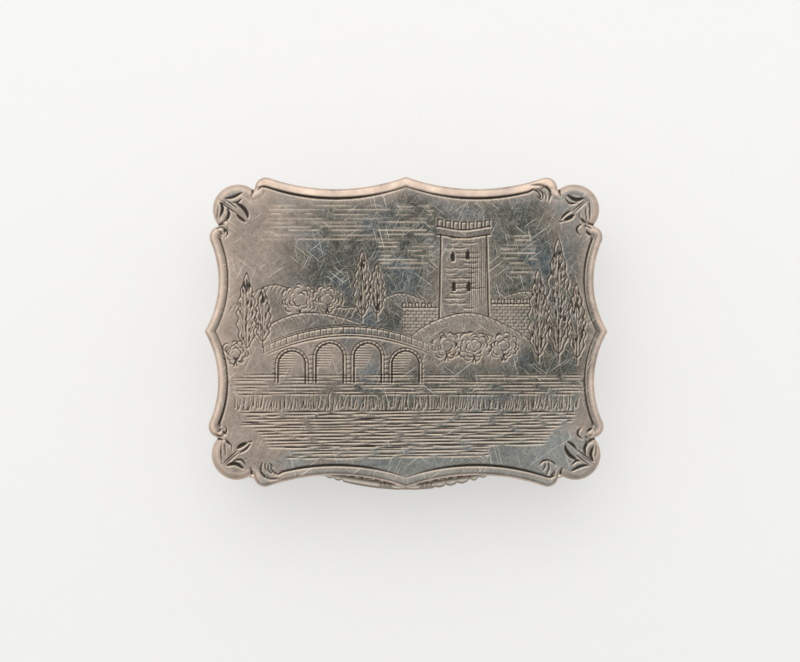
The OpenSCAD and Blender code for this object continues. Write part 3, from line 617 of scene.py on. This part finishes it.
def sampled(field, xy):
    """Values of a field at any points."""
    place = np.clip((xy + HALF) / PITCH, 0, [NX - 1.001, NY - 1.001])
    i, j = place.astype(int).T
    u, v = (place % 1).T
    low = field[i, j] * (1 - u) + field[i + 1, j] * u
    high = field[i, j + 1] * (1 - u) + field[i + 1, j + 1] * u
    return low * (1 - v) + high * v


# Shapes of surfaces
def ramp(v, start, run):
    """Climbs from 0 at the start to 1 after the run."""
    return np.clip((v - start) / run, 0, 1)


def bell(v, middle, width):
    return np.exp(-((v - middle) / width) ** 2)


def quarter_round(d, run):
    """Climbs like a quarter circle from 0 to 1 over the run."""
    return math.sqrt(1 - (1 - min(1, d / run)) ** 2)


def lobe_distance(xy):
    return np.hypot(*(np.abs(xy) - LOBE_CENTRE).T)


def lobe_dome(xy):
    return DOME_RISE * np.clip(1 - (lobe_distance(xy) / DOME_R) ** 2, 0, 1)


def border_height(d, roll, xy):
    """Height of the border at an inset d: a low roll on the sides, a plain dome on the lobes."""
    crown = CROWN_RISE * math.sqrt(max(0, 1 - ((d - CROWN_AT) / CROWN_AT) ** 2))
    groove = GROOVE_DROP * max(0, (d - GROOVE_AT) / (RING_IN - GROOVE_AT))
    side = EDGE_H + ROLL_RISE * quarter_round(d, ROLL_RUN) + crown - groove
    rise = EDGE_H + LOBE_RISE * quarter_round(d, LOBE_RUN)
    return roll * side + (1 - roll) * np.minimum(rise, FIELD_H + lobe_dome(xy))


def border_shine(d, roll, xy):
    """How bright the border is painted at an inset d, for wear and a painted highlight: less near the
    two ends, and less at the front, as painted shade.
    """
    at_end = ramp(np.abs(xy[:, 0]), 18.0, 1.2)
    on_roll = (1 - at_end) * math.exp(-((d - 0.45) / 0.62) ** 8) + at_end * math.exp(-(d / 0.62) ** 4)
    on_lobe = 0.95 * math.exp(-(d / 0.75) ** 4)
    # Painted shade: darker at the front, which faces away from the light.
    front = ramp(-xy[:, 1], 13.0, 1.5) * (d > CUT_FROM)
    return roll * on_roll * (1 - 0.85 * front) + (1 - roll) * on_lobe * (1 - 0.3 * front)


# Meshes
UNDER_SHINE = 0.6
ROLL_BLUR = 6


def add_object(name, data):
    obj = bpy.data.objects.new(name, data)
    bpy.context.scene.collection.objects.link(obj)
    return obj


def mesh_object(name, verts, faces, materials, smooth=True):
    mesh = bpy.data.meshes.new(name)
    mesh.from_pydata(verts, [], faces)
    mesh.validate()
    for m in materials:
        mesh.materials.append(m)
    if smooth:
        mesh.polygons.foreach_set("use_smooth", [True] * len(mesh.polygons))
    mesh.update()
    return add_object(name, mesh)


def set_values(obj, name, values):
    """Stores a value for each point, for the material to read."""
    stored = obj.data.attributes.new(name, "FLOAT", "POINT")
    stored.data.foreach_set("value", np.array(values, np.float32))


def quads(*corners):
    """Faces from four arrays of corners."""
    return np.stack(corners, -1).reshape(-1, 4)


def closed(n, first=0):
    """Lines round a loop of n points."""
    return [(first + k, first + (k + 1) % n) for k in range(n)]


def fill(xy, lines):
    """Triangles between the points, with the lines among their edges."""
    out = delaunay_2d_cdt([Vector(p) for p in xy], lines, [], 0, 1e-7)
    origin = np.array([o[0] if o else -1 for o in out[3]])
    tri = origin[np.array([f for f in out[2] if len(f) == 3])]
    return tri[(tri >= 0).all(1)]


def layer(xy, z, edge, on_top):
    """Rows of x, y, height, edge brightness from wear and painted highlight, and whether the point is
    on the lid's top.
    """
    return np.column_stack([xy] + [np.broadcast_to(v, len(xy)) for v in (z, edge, on_top)])


def border_ring(d, depth):
    """The border's points at an inset d, with the engraving cut into them."""
    xy, roll = lid_outline(d)
    roll = blurred(roll, ROLL_BLUR)
    z = border_height(d, roll, xy) - sampled(depth, xy) * (d > CUT_FROM)
    return layer(xy, z, border_shine(d, roll, xy), d > TOP_FROM)


def field_layer(xy, loop, depth):
    """The field's points, brighter along the border from wear and a painted sheen, and less so towards
    the front, as painted shade.
    """
    off = np.concatenate([np.linalg.norm(part[:, None] - loop[::2], axis=2).min(1)
                          for part in np.array_split(xy, 100)])
    # Painted shade: the brightness fades towards the front.
    edge = 0.4 * np.exp(-off / 0.55) * np.clip(1 + xy[:, 1] / 16, 0, 1)
    return layer(xy, FIELD_H + lobe_dome(xy) - sampled(depth, xy), edge, True)


def grid_place(xy, rounded, shape):
    """Row and column of each point on the field's grid."""
    place = rounded((xy + HALF) / GRID).astype(int)
    return tuple(np.clip(place, 0, np.array(shape) - 1).T)


def field_grid(loop):
    """Square cells well inside the loop: their points and faces, and which cells they are."""
    gx = np.arange(-HALF_L, HALF_L + GRID, GRID)
    gy = np.arange(-HALF_W, HALF_W + GRID, GRID)
    px, py = np.meshgrid(gx, gy, indexing="ij")
    points = np.column_stack([px.ravel(), py.ravel()])
    good = inside(points, loop).reshape(px.shape)
    near = np.concatenate([loop, (loop + np.roll(loop, -1, 0)) / 2])
    good[grid_place(near, np.rint, px.shape)] = False
    cells = good[:-1, :-1] & good[1:, :-1] & good[:-1, 1:] & good[1:, 1:]
    i, j = np.nonzero(cells)
    corners = [(i, j), (i + 1, j), (i + 1, j + 1), (i, j + 1)]
    used = np.zeros(px.shape, bool)
    for corner in corners:
        used[corner] = True
    index = np.cumsum(used).reshape(used.shape) - 1
    return points[used.ravel()], quads(*(index[corner] for corner in corners)), cells


def band_faces(xy, ring, squares, cells):
    """Triangles between the border's last ring and the rim of the grid."""
    pairs = np.concatenate([squares[:, [k, (k + 1) % 4]] for k in range(4)])
    low, high = np.sort(pairs, 1).T
    _, first, counts = np.unique(low * len(xy) + high, return_index=True, return_counts=True)
    rim = pairs[first[counts == 1]]
    ids = np.concatenate([ring, np.unique(rim)])
    place = {int(v): k for k, v in enumerate(ids)}
    lines = closed(len(ring)) + [(place[int(a)], place[int(b)]) for a, b in rim]
    tri = ids[fill(xy[ids], lines)]
    middle = xy[tri].mean(1)
    return tri[inside(middle, xy[ring]) & ~cells[grid_place(middle, np.floor, cells.shape)]]


def underside(under, gold, first):
    """Triangles between the lid's edge and its wall, and the one face inside the wall."""
    n, m = len(under), len(gold)
    xy = np.concatenate([under, gold])
    ids = np.concatenate([np.arange(n), first + np.arange(m)])
    tri = fill(xy, closed(n) + closed(m, n))
    middle = xy[tri].mean(1)
    outer = ids[tri[inside(middle, under) & ~inside(middle, gold)]]
    return outer[:, ::-1], ids[n:][::-1]


def rubbed(xy):
    """How far the tarnish is rubbed off, in the view and on the lobes."""
    rub = bell(lobe_distance(xy), 0, 4.4)
    for c, r in rubs:
        rub = np.maximum(rub, 0.65 * np.exp(-(np.hypot(*(xy - c).T) / r) ** 4))
    return rub


def lid_mesh(silver, gilt):
    """Rings along the border, a square grid on the field, a band between them, and an underside."""
    depth, dark, lips_and_highlight = engraving()
    under, gold = lid_outline(EDGE_IN)[0], lid_inside()
    rings = [layer(under, 0, UNDER_SHINE, False)] + [border_ring(d, depth) for d in RINGS]
    ids = np.arange(len(rings) * len(under)).reshape(len(rings), -1)
    ahead = np.roll(ids, -1, 1)
    loop = rings[-1][:, :2]
    field_xy, squares, cells = field_grid(loop)
    squares += ids.size
    field = field_layer(field_xy, loop, depth)
    rows = np.concatenate(rings + [field, layer(gold, 0, UNDER_SHINE, False)])
    xy, edge, on_top = rows[:, :2], rows[:, 3], rows[:, 4]
    faces = quads(ids[:-1], ahead[:-1], ahead[1:], ids[1:]).tolist()
    faces += squares.tolist() + band_faces(xy, ids[-1], squares, cells).tolist()
    upper = len(faces)
    outer, inner = underside(under, gold, len(rows) - len(gold))
    faces += outer.tolist() + [inner.tolist()]
    obj = mesh_object("engraved_lid", (rows[:, :3] + [0, 0, LID_UNDER]) * MM, faces, [silver, gilt])
    obj.data.polygons.foreach_set("material_index", [0] * (len(faces) - 1) + [1])
    obj.data.polygons.foreach_set("use_smooth", [i < upper for i in range(len(faces))])
    ink = np.clip(1.4 * sampled(dark, xy), 0, 1) * on_top
    set_values(obj, "ink", ink)
    set_values(obj, "lip_and_highlight", np.clip(sampled(lips_and_highlight, xy) - ink, 0, 1) * on_top)
    set_values(obj, "rub", rubbed(xy))
    # edge: brightness from wear and a painted highlight, with painted shade at the front.
    set_values(obj, "edge", edge)
    return obj


# Materials
class Shader:
    """Adds nodes to a new material or world and links them."""

    def __init__(self, name, store=bpy.data.materials):
        self.owner = store.new(name)
        self.owner.use_nodes = True
        self.tree = self.owner.node_tree
        self.bsdf = self.tree.nodes.get("Principled BSDF")

    def node(self, kind, inputs=None, **settings):
        node = self.tree.nodes.new(kind)
        for key, value in settings.items():
            setattr(node, key, value)
        self.feed(node, inputs or {})
        return node

    def feed(self, node, inputs):
        for key, value in inputs.items():
            if isinstance(value, bpy.types.NodeSocket):
                self.tree.links.new(value, node.inputs[key])
            else:
                node.inputs[key].default_value = value

    def place(self, scale=(1, 1, 1), turn_z=0.0):
        """Object coordinates in mm, turned and then stretched."""
        coords = self.node("ShaderNodeTexCoord").outputs["Object"]
        spin = self.node("ShaderNodeMapping", {"Vector": coords, "Rotation": (0, 0, turn_z)})
        size = tuple(s / MM for s in scale)
        return self.node("ShaderNodeMapping", {"Vector": spin.outputs[0], "Scale": size}).outputs[0]

    def noise(self, where, scale, detail=4.0, rough=0.55):
        return self.node("ShaderNodeTexNoise", {
            "Vector": where, "Scale": scale, "Detail": detail, "Roughness": rough}).outputs["Fac"]

    def cells(self, where, scale):
        return self.node("ShaderNodeTexVoronoi", {"Vector": where, "Scale": scale}).outputs["Distance"]

    def axes(self, where):
        return self.node("ShaderNodeSeparateXYZ", {"Vector": where}).outputs

    def span(self, value, low, high, to_low=0.0, to_high=1.0):
        inputs = dict(enumerate([value, low, high, to_low, to_high]))
        return self.node("ShaderNodeMapRange", inputs, clamp=True).outputs["Result"]

    def fold(self, how, first, *rest):
        """Adds, multiplies or compares the values in turn."""
        for value in rest:
            first = self.node("ShaderNodeMath", {0: first, 1: value}, operation=how).outputs[0]
        return first

    def mix(self, share, a, b):
        return self.node("ShaderNodeMix", {"Factor": share, 6: a, 7: b}, data_type="RGBA").outputs[2]

    def attribute(self, name):
        return self.node("ShaderNodeAttribute", attribute_name=name).outputs["Fac"]

    def scratches(self, angle, scale, low, high, length=0.06):
        where = self.place((scale, scale * length, 1), angle)
        return self.span(self.noise(where, 1.0, 2.0, 0.4), low, high)

    def bump(self, height, distance, strength):
        return self.node("ShaderNodeBump", {
            "Height": height, "Distance": distance, "Strength": strength}).outputs["Normal"]

    def finish(self, color, metallic, rough, normal=None):
        self.feed(self.bsdf, {"Base Color": color, "Metallic": metallic, "Roughness": rough})
        if normal:
            self.feed(self.bsdf, {"Normal": normal})
        return self.owner


def rgb(*display):
    """An 8-bit display colour as a linear colour."""
    shares = [c / 255 for c in display]
    return (*(c / 12.92 if c <= 0.04045 else ((c + 0.055) / 1.055) ** 2.4 for c in shares), 1.0)


# Colours: a pair is the two ends of a mix
TARNISH = rgb(32, 34, 29), rgb(66, 68, 62)
BLUE_TARNISH = rgb(40, 48, 52), rgb(74, 82, 85)
WARM_SILVER = rgb(104, 93, 85), rgb(145, 131, 120)
GREY_SILVER = rgb(84, 90, 90), rgb(126, 132, 130)
# Bright border silver: wear and a painted highlight.
WORN_SILVER_AND_SHEEN = rgb(192, 167, 149), rgb(224, 206, 190)
SIDE_SILVER = rgb(194, 181, 165), rgb(224, 212, 196)
WIRE = rgb(150, 142, 132), rgb(204, 196, 186)
GILDING = rgb(196, 156, 88), rgb(222, 188, 116)
SPONGE = rgb(150, 112, 62), rgb(206, 170, 112)
# The cast crests: polished silver and a painted highlight.
CAST_HIGH_AND_HIGHLIGHT = rgb(244, 226, 206), rgb(255, 248, 236)
CAST_MIDDLE = rgb(102, 91, 79), rgb(144, 131, 116)
CAST_LOW = rgb(42, 36, 30), rgb(90, 80, 69)
GROUND = rgb(245, 245, 244), rgb(239, 239, 238)
FINE_SCRATCH, LONG_SCRATCH, SIDE_SCRATCH = rgb(166, 162, 152), rgb(196, 190, 178), rgb(226, 210, 186)
# The first colour here is the bright rim beside the cuts: wear and a painted highlight.
CUT_LIP_AND_HIGHLIGHT, CUT_INK, PIT = rgb(220, 202, 182), rgb(30, 24, 19), rgb(46, 38, 32)
GILT_DIRT, SPONGE_PORE = rgb(140, 100, 52), rgb(84, 58, 30)

# Textures: angle and scale of each set of scratches, depth of the grain in metres
TARNISH_CENTRE = (2.5, 7.0, 12.1)
FINE_SCRATCHES = [(-0.5, 9.0), (1.2, 10.0), (0.02, 12.0), (0.8, 8.5), (-1.1, 11.0), (1.5, 9.5)]
LONG_SCRATCHES = [(0.45, 10.0), (-0.25, 9.0), (0.95, 8.0), (-0.9, 10.0)]
GRAIN_DEPTH, CAST_DEPTH, FIBRE_DEPTH = 0.00002, 0.00003, 0.0001


def tarnished(s, where, clouds, grain, far):
    """Warm and grey silver, with tarnish that is darkest in the upper middle of the field."""
    axes = s.axes(where)
    patches = s.span(s.noise(s.place((1, 1.4, 1), 0.5), 0.16, 3.0), 0.48, 0.62)
    dark = s.mix(patches, s.mix(grain, *TARNISH), s.mix(grain, *BLUE_TARNISH))
    cool = s.fold(
        "ADD", s.noise(s.place((1, 1.2, 1), -0.7), 0.13, 4.0, 0.6),
        s.span(axes["X"], -14.0, 14.0, -0.12, 0.08), s.span(axes["Y"], -11.0, -14.5, 0, 0.16))
    cool = s.span(cool, 0.46, 0.6, 0, 0.85)
    light = s.mix(cool, s.mix(grain, *WARM_SILVER), s.mix(grain, *GREY_SILVER))
    warmth = s.fold(
        "ADD", s.span(far, 6.0, 20.0, -0.1, 0.3), s.span(clouds, 0.35, 0.7, -0.25, 0.4),
        s.fold("MULTIPLY", s.attribute("rub"), 0.9), s.span(axes["X"], -10.0, -18.0, 0, 0.7),
        s.span(axes["X"], 8.0, 16.0, 0, -0.2), s.span(axes["Y"], -6.0, -13.0, 0, 0.3))
    return s.mix(s.span(warmth, 0.0, 1.0), dark, light)


def scratched(s, color, far):
    """Fine scratches, strongest on the dark tarnish, and a few long ones."""
    fine = [s.scratches(0.3, 11.0, 0.6, 0.7)]
    fine += [s.scratches(angle, scale, 0.61, 0.71) for angle, scale in FINE_SCRATCHES]
    fine = s.fold("MULTIPLY", s.fold("MAXIMUM", *fine), s.span(far, 3.0, 20.0, 0.45, 0.25))
    color = s.mix(fine, color, FINE_SCRATCH)
    long_cuts = [s.scratches(angle, scale, 0.68, 0.74, 0.025) for angle, scale in LONG_SCRATCHES]
    return s.mix(s.fold("MULTIPLY", s.fold("MAXIMUM", *long_cuts), 0.75), color, LONG_SCRATCH)


def lid_silver():
    """Tarnished and scratched, with a border painted bright for wear and a painted highlight, darker at
    the front as painted shade, and dark lines with bright rims, rubbed bright on both sides and with a
    painted highlight on their front right side.
    """
    s = Shader("lid_silver")
    where = s.place()
    clouds = s.noise(where, 0.1, 5.0, 0.62)
    grain = s.span(s.noise(where, 2.2, 6.0, 0.7), 0.3, 0.7)
    away = s.node("ShaderNodeVectorMath", {0: where, 1: TARNISH_CENTRE}, operation="DISTANCE")
    far = away.outputs["Value"]
    color = scratched(s, tarnished(s, where, clouds, grain, far), far)
    # The edge value paints the border bright for wear and a painted highlight, and darker at the front
    # as painted shade.
    bright = s.mix(s.noise(where, 0.5, 4.0), *WORN_SILVER_AND_SHEEN)
    patchy_wear_and_sheen = s.span(s.noise(s.place((1, 1, 0.3), 0.9), 0.4, 4.0, 0.6), 0.32, 0.6, 0.55, 1.0)
    color = s.mix(s.fold("MULTIPLY", s.attribute("edge"), patchy_wear_and_sheen), color, bright)
    # Bright rims beside the cuts: wear, with a painted highlight on their front right side.
    color = s.mix(s.fold("MULTIPLY", s.attribute("lip_and_highlight"), 0.9), color, CUT_LIP_AND_HIGHLIGHT)
    color = s.mix(s.fold("MULTIPLY", s.attribute("ink"), 0.95), color, CUT_INK)
    spots = s.span(s.cells(where, 1.0), 0.06, 0.1, 0.7, 0)
    color = s.mix(s.fold("MULTIPLY", spots, s.span(clouds, 0.45, 0.6)), color, PIT)
    return s.finish(color, 0.7, s.span(grain, 0.0, 1.0, 0.36, 0.5), s.bump(grain, GRAIN_DEPTH, 0.4))


def plain_silver():
    s = Shader("side_silver")
    where = s.place()
    clouds = s.noise(where, 0.2, 5.0, 0.6)
    grain = s.noise(where, 2.0, 5.0)
    color = s.mix(s.span(clouds, 0.35, 0.7), *SIDE_SILVER)
    color = s.mix(s.scratches(0.4, 7.0, 0.66, 0.8), color, SIDE_SCRATCH)
    return s.finish(color, 1.0, s.span(grain, 0.3, 0.7, 0.16, 0.28), s.bump(grain, GRAIN_DEPTH, 0.2))


def gilt_metal():
    s = Shader("soft_gilt")
    where = s.place()
    clouds = s.noise(where, 0.25, 5.0, 0.6)
    grain = s.noise(where, 3.0, 5.0)
    color = s.mix(s.span(clouds, 0.35, 0.7), *GILDING)
    color = s.mix(s.span(grain, 0.6, 0.8, 0, 0.35), color, GILT_DIRT)
    return s.finish(color, 0.9, s.span(grain, 0.3, 0.7, 0.3, 0.46), s.bump(grain, GRAIN_DEPTH, 0.3))


def pin_metal():
    s = Shader("pin_wire")
    grain = s.noise(s.place((0.2, 3, 3)), 2.0, 4.0)
    return s.finish(s.mix(grain, *WIRE), 0.9, s.span(grain, 0.3, 0.7, 0.28, 0.42))


def sponge_fibre():
    s = Shader("sponge_fibre")
    where = s.place()
    fibres = s.noise(where, 3.0, 6.0, 0.7)
    pores = s.span(s.cells(where, 1.1), 0.05, 0.45, 0.8, 0)
    color = s.mix(pores, s.mix(fibres, *SPONGE), SPONGE_PORE)
    return s.finish(color, 0.0, 0.92, s.bump(fibres, FIBRE_DEPTH, 0.6))


def cast_silver():
    s = Shader("cast_silver")
    grain = s.noise(s.place(), 1.6, 5.0)
    rise = s.attribute("rise")
    color = s.mix(s.span(rise, 0.1, 0.5), s.mix(grain, *CAST_LOW), s.mix(grain, *CAST_MIDDLE))
    # The crests are painted near white: polished wear and a painted highlight.
    color = s.mix(s.span(rise, 0.5, 0.92), color, s.mix(grain, *CAST_HIGH_AND_HIGHLIGHT))
    return s.finish(color, 0.75, s.span(grain, 0.3, 0.7, 0.2, 0.34), s.bump(grain, CAST_DEPTH, 0.4))


SIDE = plain_silver()
GILT = gilt_metal()
PIN = pin_metal()
CAST = cast_silver()
LID = lid_silver()
FIBRE = sponge_fibre()

lid = lid_mesh(LID, GILT)
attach(lid, "lid")
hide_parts("lid_top")

# Thumbpiece, in mm
THUMB_L, THUMB_REACH, THUMB_BOW = 18.8, 0.25, 1.6
THUMB_H, THUMB_MID, THUMB_SEAT, THUMB_GROUND = 2.84, 9.74, 0.03, 0.4
THUMB_LEAN = 0.72
COLUMNS, ROWS = 340, 56
ARM_START, ARM_END, ARM_RUN = 0.2, 0.35 * THUMB_L, 0.5
TIP_PITCH = (THUMB_L / 2 - ARM_END) / 3
BEAD_PITCH, BEAD_SIZE = (ARM_END - 1.45) / 4, (0.5, 0.42)
LEAF_FROM, LEAF_PITCH, RIB_PITCH = 2.9, 1.25, 0.92
PETALS, PETAL_OUT, PETAL_SIZE, FLOWER_R = 6, 0.85, (0.6, 0.4), 0.42
LOWER_RIM, LOWER_RIM_W = -0.92, 0.22
RIM_TONE, RIM_TONE_BELOW, REAR_TONE = 0.6, -0.72, 0.75


def scallops(v, pitch):
    """Rounded hollows, one to each pitch."""
    return 1 - np.abs(np.cos(math.pi * v / pitch)) ** 0.6


def dome(x, z, c, size, turn_by):
    """A domed leaf with a vein along it."""
    u = ((x - c[0]) * math.cos(turn_by) + (z - c[1]) * math.sin(turn_by)) / size[0]
    v = ((z - c[1]) * math.cos(turn_by) - (x - c[0]) * math.sin(turn_by)) / size[1]
    vein = 1 - 0.45 * bell(v, 0, 0.13) * (u > -0.9)
    return np.sqrt(np.clip(1 - u * u - v * v, 0, 1)) * vein


def arms(x, z, v):
    """On each arm a rolled scroll round a beaded hollow, leafy on the right, and a leafy tip."""
    ax = np.abs(x)
    lobes = 1 - 0.4 * ramp(ax, ARM_END, TIP_PITCH / 2) * scallops(ax - ARM_END, TIP_PITCH)
    leafy = (x > 0) * ramp(ax, LEAF_FROM, 0.5) * scallops(ax, LEAF_PITCH)
    rims = 0.45 * bell(v, 0.7, 0.28)
    for level, width, height in ((-0.52, 0.16, 0.97), (LOWER_RIM, LOWER_RIM_W, 1.0)):
        rims = np.maximum(rims, height * (1 - 0.3 * leafy) * bell(v, level, width))
    curl = 0.8 * bell(ax, ARM_END, 0.3) * np.clip(0.3 - v, 0, 1)
    high = ramp(ax, ARM_START, ARM_RUN) * np.maximum(lobes * rims, curl)
    middle_rim = 0.95 * (ax < ARM_START + ARM_RUN) * bell(v, LOWER_RIM, LOWER_RIM_W)
    ribs = 0.35 + 0.35 * np.cos(math.tau * (ax / RIB_PITCH + 0.4 * v))
    high = np.maximum(np.maximum(high, middle_rim), ribs * bell(v, 0.3, 0.34) * ramp(ax, 1.2, 0.5))
    for at, wide in ((1.75, 0.2), (2.3, 0.15), (2.75, 0.1)):
        high *= 1 - 0.8 * bell(ax, at, wide) * bell(v, -0.5, 0.2)
    for i in range(1, 4):
        high = np.maximum(high, 0.6 * dome(ax, z, (ARM_END - BEAD_PITCH * i, 0), BEAD_SIZE, 0.5))
    return high


def flower(x, z):
    high = np.sqrt(np.clip(1 - (x / FLOWER_R) ** 2 - (z / FLOWER_R) ** 2, 0, 1))
    for i in range(PETALS):
        a = math.tau * i / PETALS
        high = np.maximum(high, 0.85 * dome(x, z, polar((0, 0), PETAL_OUT, a), PETAL_SIZE, a))
    return high


def thumb_mesh():
    """The relief on a fine grid, and a plain back that follows the side wall."""
    x = THUMB_L * (np.arange(COLUMNS + 1) / COLUMNS - 0.5)
    up = 2 * np.arange(ROWS + 1) / ROWS - 1
    t = np.abs(x) / (THUMB_L / 2)
    wave = 0.08 * np.cos(math.tau * (np.abs(x) - ARM_END) / TIP_PITCH)
    half = (THUMB_H / 2) * (0.14 + 0.78 * (1 - t * t) ** 0.6 + wave * (1 - t))
    sweep = np.sqrt((LONG_R + WALL_INSET) ** 2 - (np.abs(x) - LONG_DEEP) ** 2)
    back = LONG_CENTRE[1] - sweep + THUMB_SEAT
    front = HALF_W + THUMB_REACH - THUMB_BOW * (2 * x / THUMB_L) ** 2
    column, z = x[:, None], half[:, None] * up
    rise = np.maximum(arms(column, z, z / half[:, None]), flower(column, z))
    share = (THUMB_GROUND + (1 - THUMB_GROUND) * rise) * (1 - THUMB_LEAN * (up + 1) / 2)
    y = -(back[:, None] + (front - back)[:, None] * share)
    relief = np.stack(np.broadcast_arrays(column, y, THUMB_MID + z), -1).reshape(-1, 3)
    edges = THUMB_MID + half[:, None] * [-1, 1]
    plain = np.column_stack([np.repeat(x, 2), np.repeat(-back, 2), edges.ravel()])
    at = np.arange(len(relief)).reshape(rise.shape)
    rear = len(relief) + np.arange(len(plain)).reshape(edges.shape)
    faces = np.concatenate([
        quads(at[:-1, :-1], at[1:, :-1], at[1:, 1:], at[:-1, 1:]),
        quads(rear[:-1, 0], rear[:-1, 1], rear[1:, 1], rear[1:, 0]),
        quads(at[:-1, 0], rear[:-1, 0], rear[1:, 0], at[1:, 0]),
        quads(at[:-1, -1], at[1:, -1], rear[1:, 1], rear[:-1, 1]),
    ]).tolist()
    faces.append(at[0].tolist() + rear[0, ::-1].tolist())
    faces.append(at[-1, ::-1].tolist() + rear[-1].tolist())
    obj = mesh_object("cast_thumbpiece", np.concatenate([relief, plain]) * MM, faces, [CAST])
    tone = np.where(up < RIM_TONE_BELOW, RIM_TONE, rise)
    set_values(obj, "rise", np.concatenate([tone.ravel(), np.full(len(plain), REAR_TONE)]))
    return obj


thumb = thumb_mesh()
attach(thumb, "lid")
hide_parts("thumbpiece")

# Sponge, in metres: size of the even mesh, then scale and depth of the hollows pressed into it
SPONGE_VOXEL = 0.00028
HOLLOWS = [("pores", 0.0016, -0.0007), ("fibres", 0.0006, -0.0003)]
HOLLOW_LEVEL = 0.7


def sponge_mesh():
    obj = add_object("natural_sponge", NODES["sponge"].data.copy())
    obj.data.materials.clear()
    obj.data.materials.append(FIBRE)
    remesh = obj.modifiers.new("even", "REMESH")
    remesh.mode, remesh.voxel_size, remesh.use_smooth_shade = "VOXEL", SPONGE_VOXEL, True
    for name, size, strength in HOLLOWS:
        texture = bpy.data.textures.new(name, "VORONOI")
        texture.noise_scale = size
        push = obj.modifiers.new(name, "DISPLACE")
        push.texture, push.texture_coords = texture, "LOCAL"
        push.strength, push.mid_level = strength, HOLLOW_LEVEL
    return obj


sponge = sponge_mesh()
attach(sponge, "box")
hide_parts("sponge")

# Kept CAD pieces
REPLACED = ("lid_top", "thumbpiece", "sponge")
WELD_GAP, BEVEL_W, BEVEL_ANGLE = 0.000001, 0.00006, math.radians(40)


def metal_of(name):
    """Pins are wire; the grille and its hinge, the bezel and the bearers are gilt."""
    if name.endswith("pin"):
        return PIN
    if name.startswith("grille") or name.endswith("bearer") or name == "bezel":
        return GILT
    return SIDE


def dress(obj, metal):
    obj.data.materials.clear()
    obj.data.materials.append(metal)
    weld = obj.modifiers.new("weld", "WELD")
    weld.merge_threshold = WELD_GAP
    bevel = obj.modifiers.new("soft_edges", "BEVEL")
    bevel.width, bevel.segments = BEVEL_W, 2
    bevel.limit_method, bevel.angle_limit = "ANGLE", BEVEL_ANGLE


for name, obj in NODES.items():
    if name not in REPLACED:
        dress(obj, metal_of(name))

# Stage, light and camera, in metres
FLOOR_HALF, FLOOR_Z, EVEN_SHARE = 2.0, -0.00003, 0.5
ROOM_LEAN, ROOM_REACH, ROOM_DARK, ROOM_LIGHT = (-0.15, 0.92, 0.25), 0.8, 0.48, 0.96
LAMP_AT, LAMP_AIM = Vector((-0.05, 0.17, 0.52)), Vector((0, 0, 0.01))
LAMP_SIZE, LAMP_WATTS, LAMP_COLOR = 0.5, 1.15, (1.0, 0.98, 0.95)
PX_PER_MM, IMAGE_W = 9.18, 800
LENS, SENSOR, TILT = 120.0, 36.0, math.radians(4.0)
CAMERA_AIM = Vector((-0.00066, 0.00003, 0.0121))


def stage():
    """A pale ground. Half of what is seen of it is its own colour, so the shadow stays faint."""
    s = Shader("pale_ground")
    where = s.place()
    # Painted shade: the ground is a little darker towards the front.
    slope = s.span(s.axes(where)["Y"], 35.0, -35.0, 0, 0.8)
    color = s.mix(s.fold("ADD", slope, s.fold("MULTIPLY", s.noise(where, 0.3, 3.0), 0.2)), *GROUND)
    material = s.finish(color, 0.0, 0.9)
    even = s.node("ShaderNodeEmission", {"Color": color, "Strength": 1.0}).outputs[0]
    path = s.node("ShaderNodeLightPath").outputs
    seen = s.fold("MAXIMUM", path["Is Camera Ray"], path["Is Glossy Ray"], path["Is Transmission Ray"])
    share = s.fold("MULTIPLY", seen, EVEN_SHARE)
    both = s.node("ShaderNodeMixShader", {0: share, 1: s.bsdf.outputs[0], 2: even})
    s.feed(s.tree.nodes["Material Output"], {"Surface": both.outputs[0]})
    corners = [(sx * FLOOR_HALF, sy * FLOOR_HALF, FLOOR_Z) for sx, sy in CORNERS]
    floor = mesh_object("ground", corners, [(2, 3, 1, 0)], [material], smooth=False)


def room():
    """A pale room, lighter behind."""
    s = Shader("room", bpy.data.worlds)
    bpy.context.scene.world = s.owner
    way = s.node("ShaderNodeTexCoord").outputs["Generated"]
    lean = s.node("ShaderNodeVectorMath", {0: way, 1: ROOM_LEAN}, operation="DOT_PRODUCT")
    level = s.span(lean.outputs["Value"], -ROOM_REACH, ROOM_REACH, ROOM_DARK, ROOM_LIGHT)
    s.feed(s.tree.nodes["Background"], {"Color": level})


def looking(name, data, where, way):
    """An object at a place, turned to look along a way."""
    obj = add_object(name, data)
    obj.location = where
    obj.rotation_mode = "QUATERNION"
    obj.rotation_quaternion = way.to_track_quat("-Z", "Y")
    return obj


def key_lamp():
    """A broad soft lamp, above and a little behind."""
    data = bpy.data.lights.new("key", "AREA")
    data.size, data.energy, data.color = LAMP_SIZE, LAMP_WATTS, LAMP_COLOR
    looking("key", data, LAMP_AT, LAMP_AIM - LAMP_AT)


def camera():
    """The photo's view: almost straight down, at the photo's scale."""
    data = bpy.data.cameras.new("camera")
    data.lens, data.sensor_width = LENS, SENSOR
    data.clip_start, data.clip_end = 0.01, 10
    distance = IMAGE_W / PX_PER_MM * MM * LENS / SENSOR
    away = Vector((0, -math.sin(TILT), math.cos(TILT)))
    bpy.context.scene.camera = looking("camera", data, CAMERA_AIM + away * distance, -away)


stage()
room()
key_lamp()
camera()

bpy.context.scene.view_settings.view_transform = "Standard"
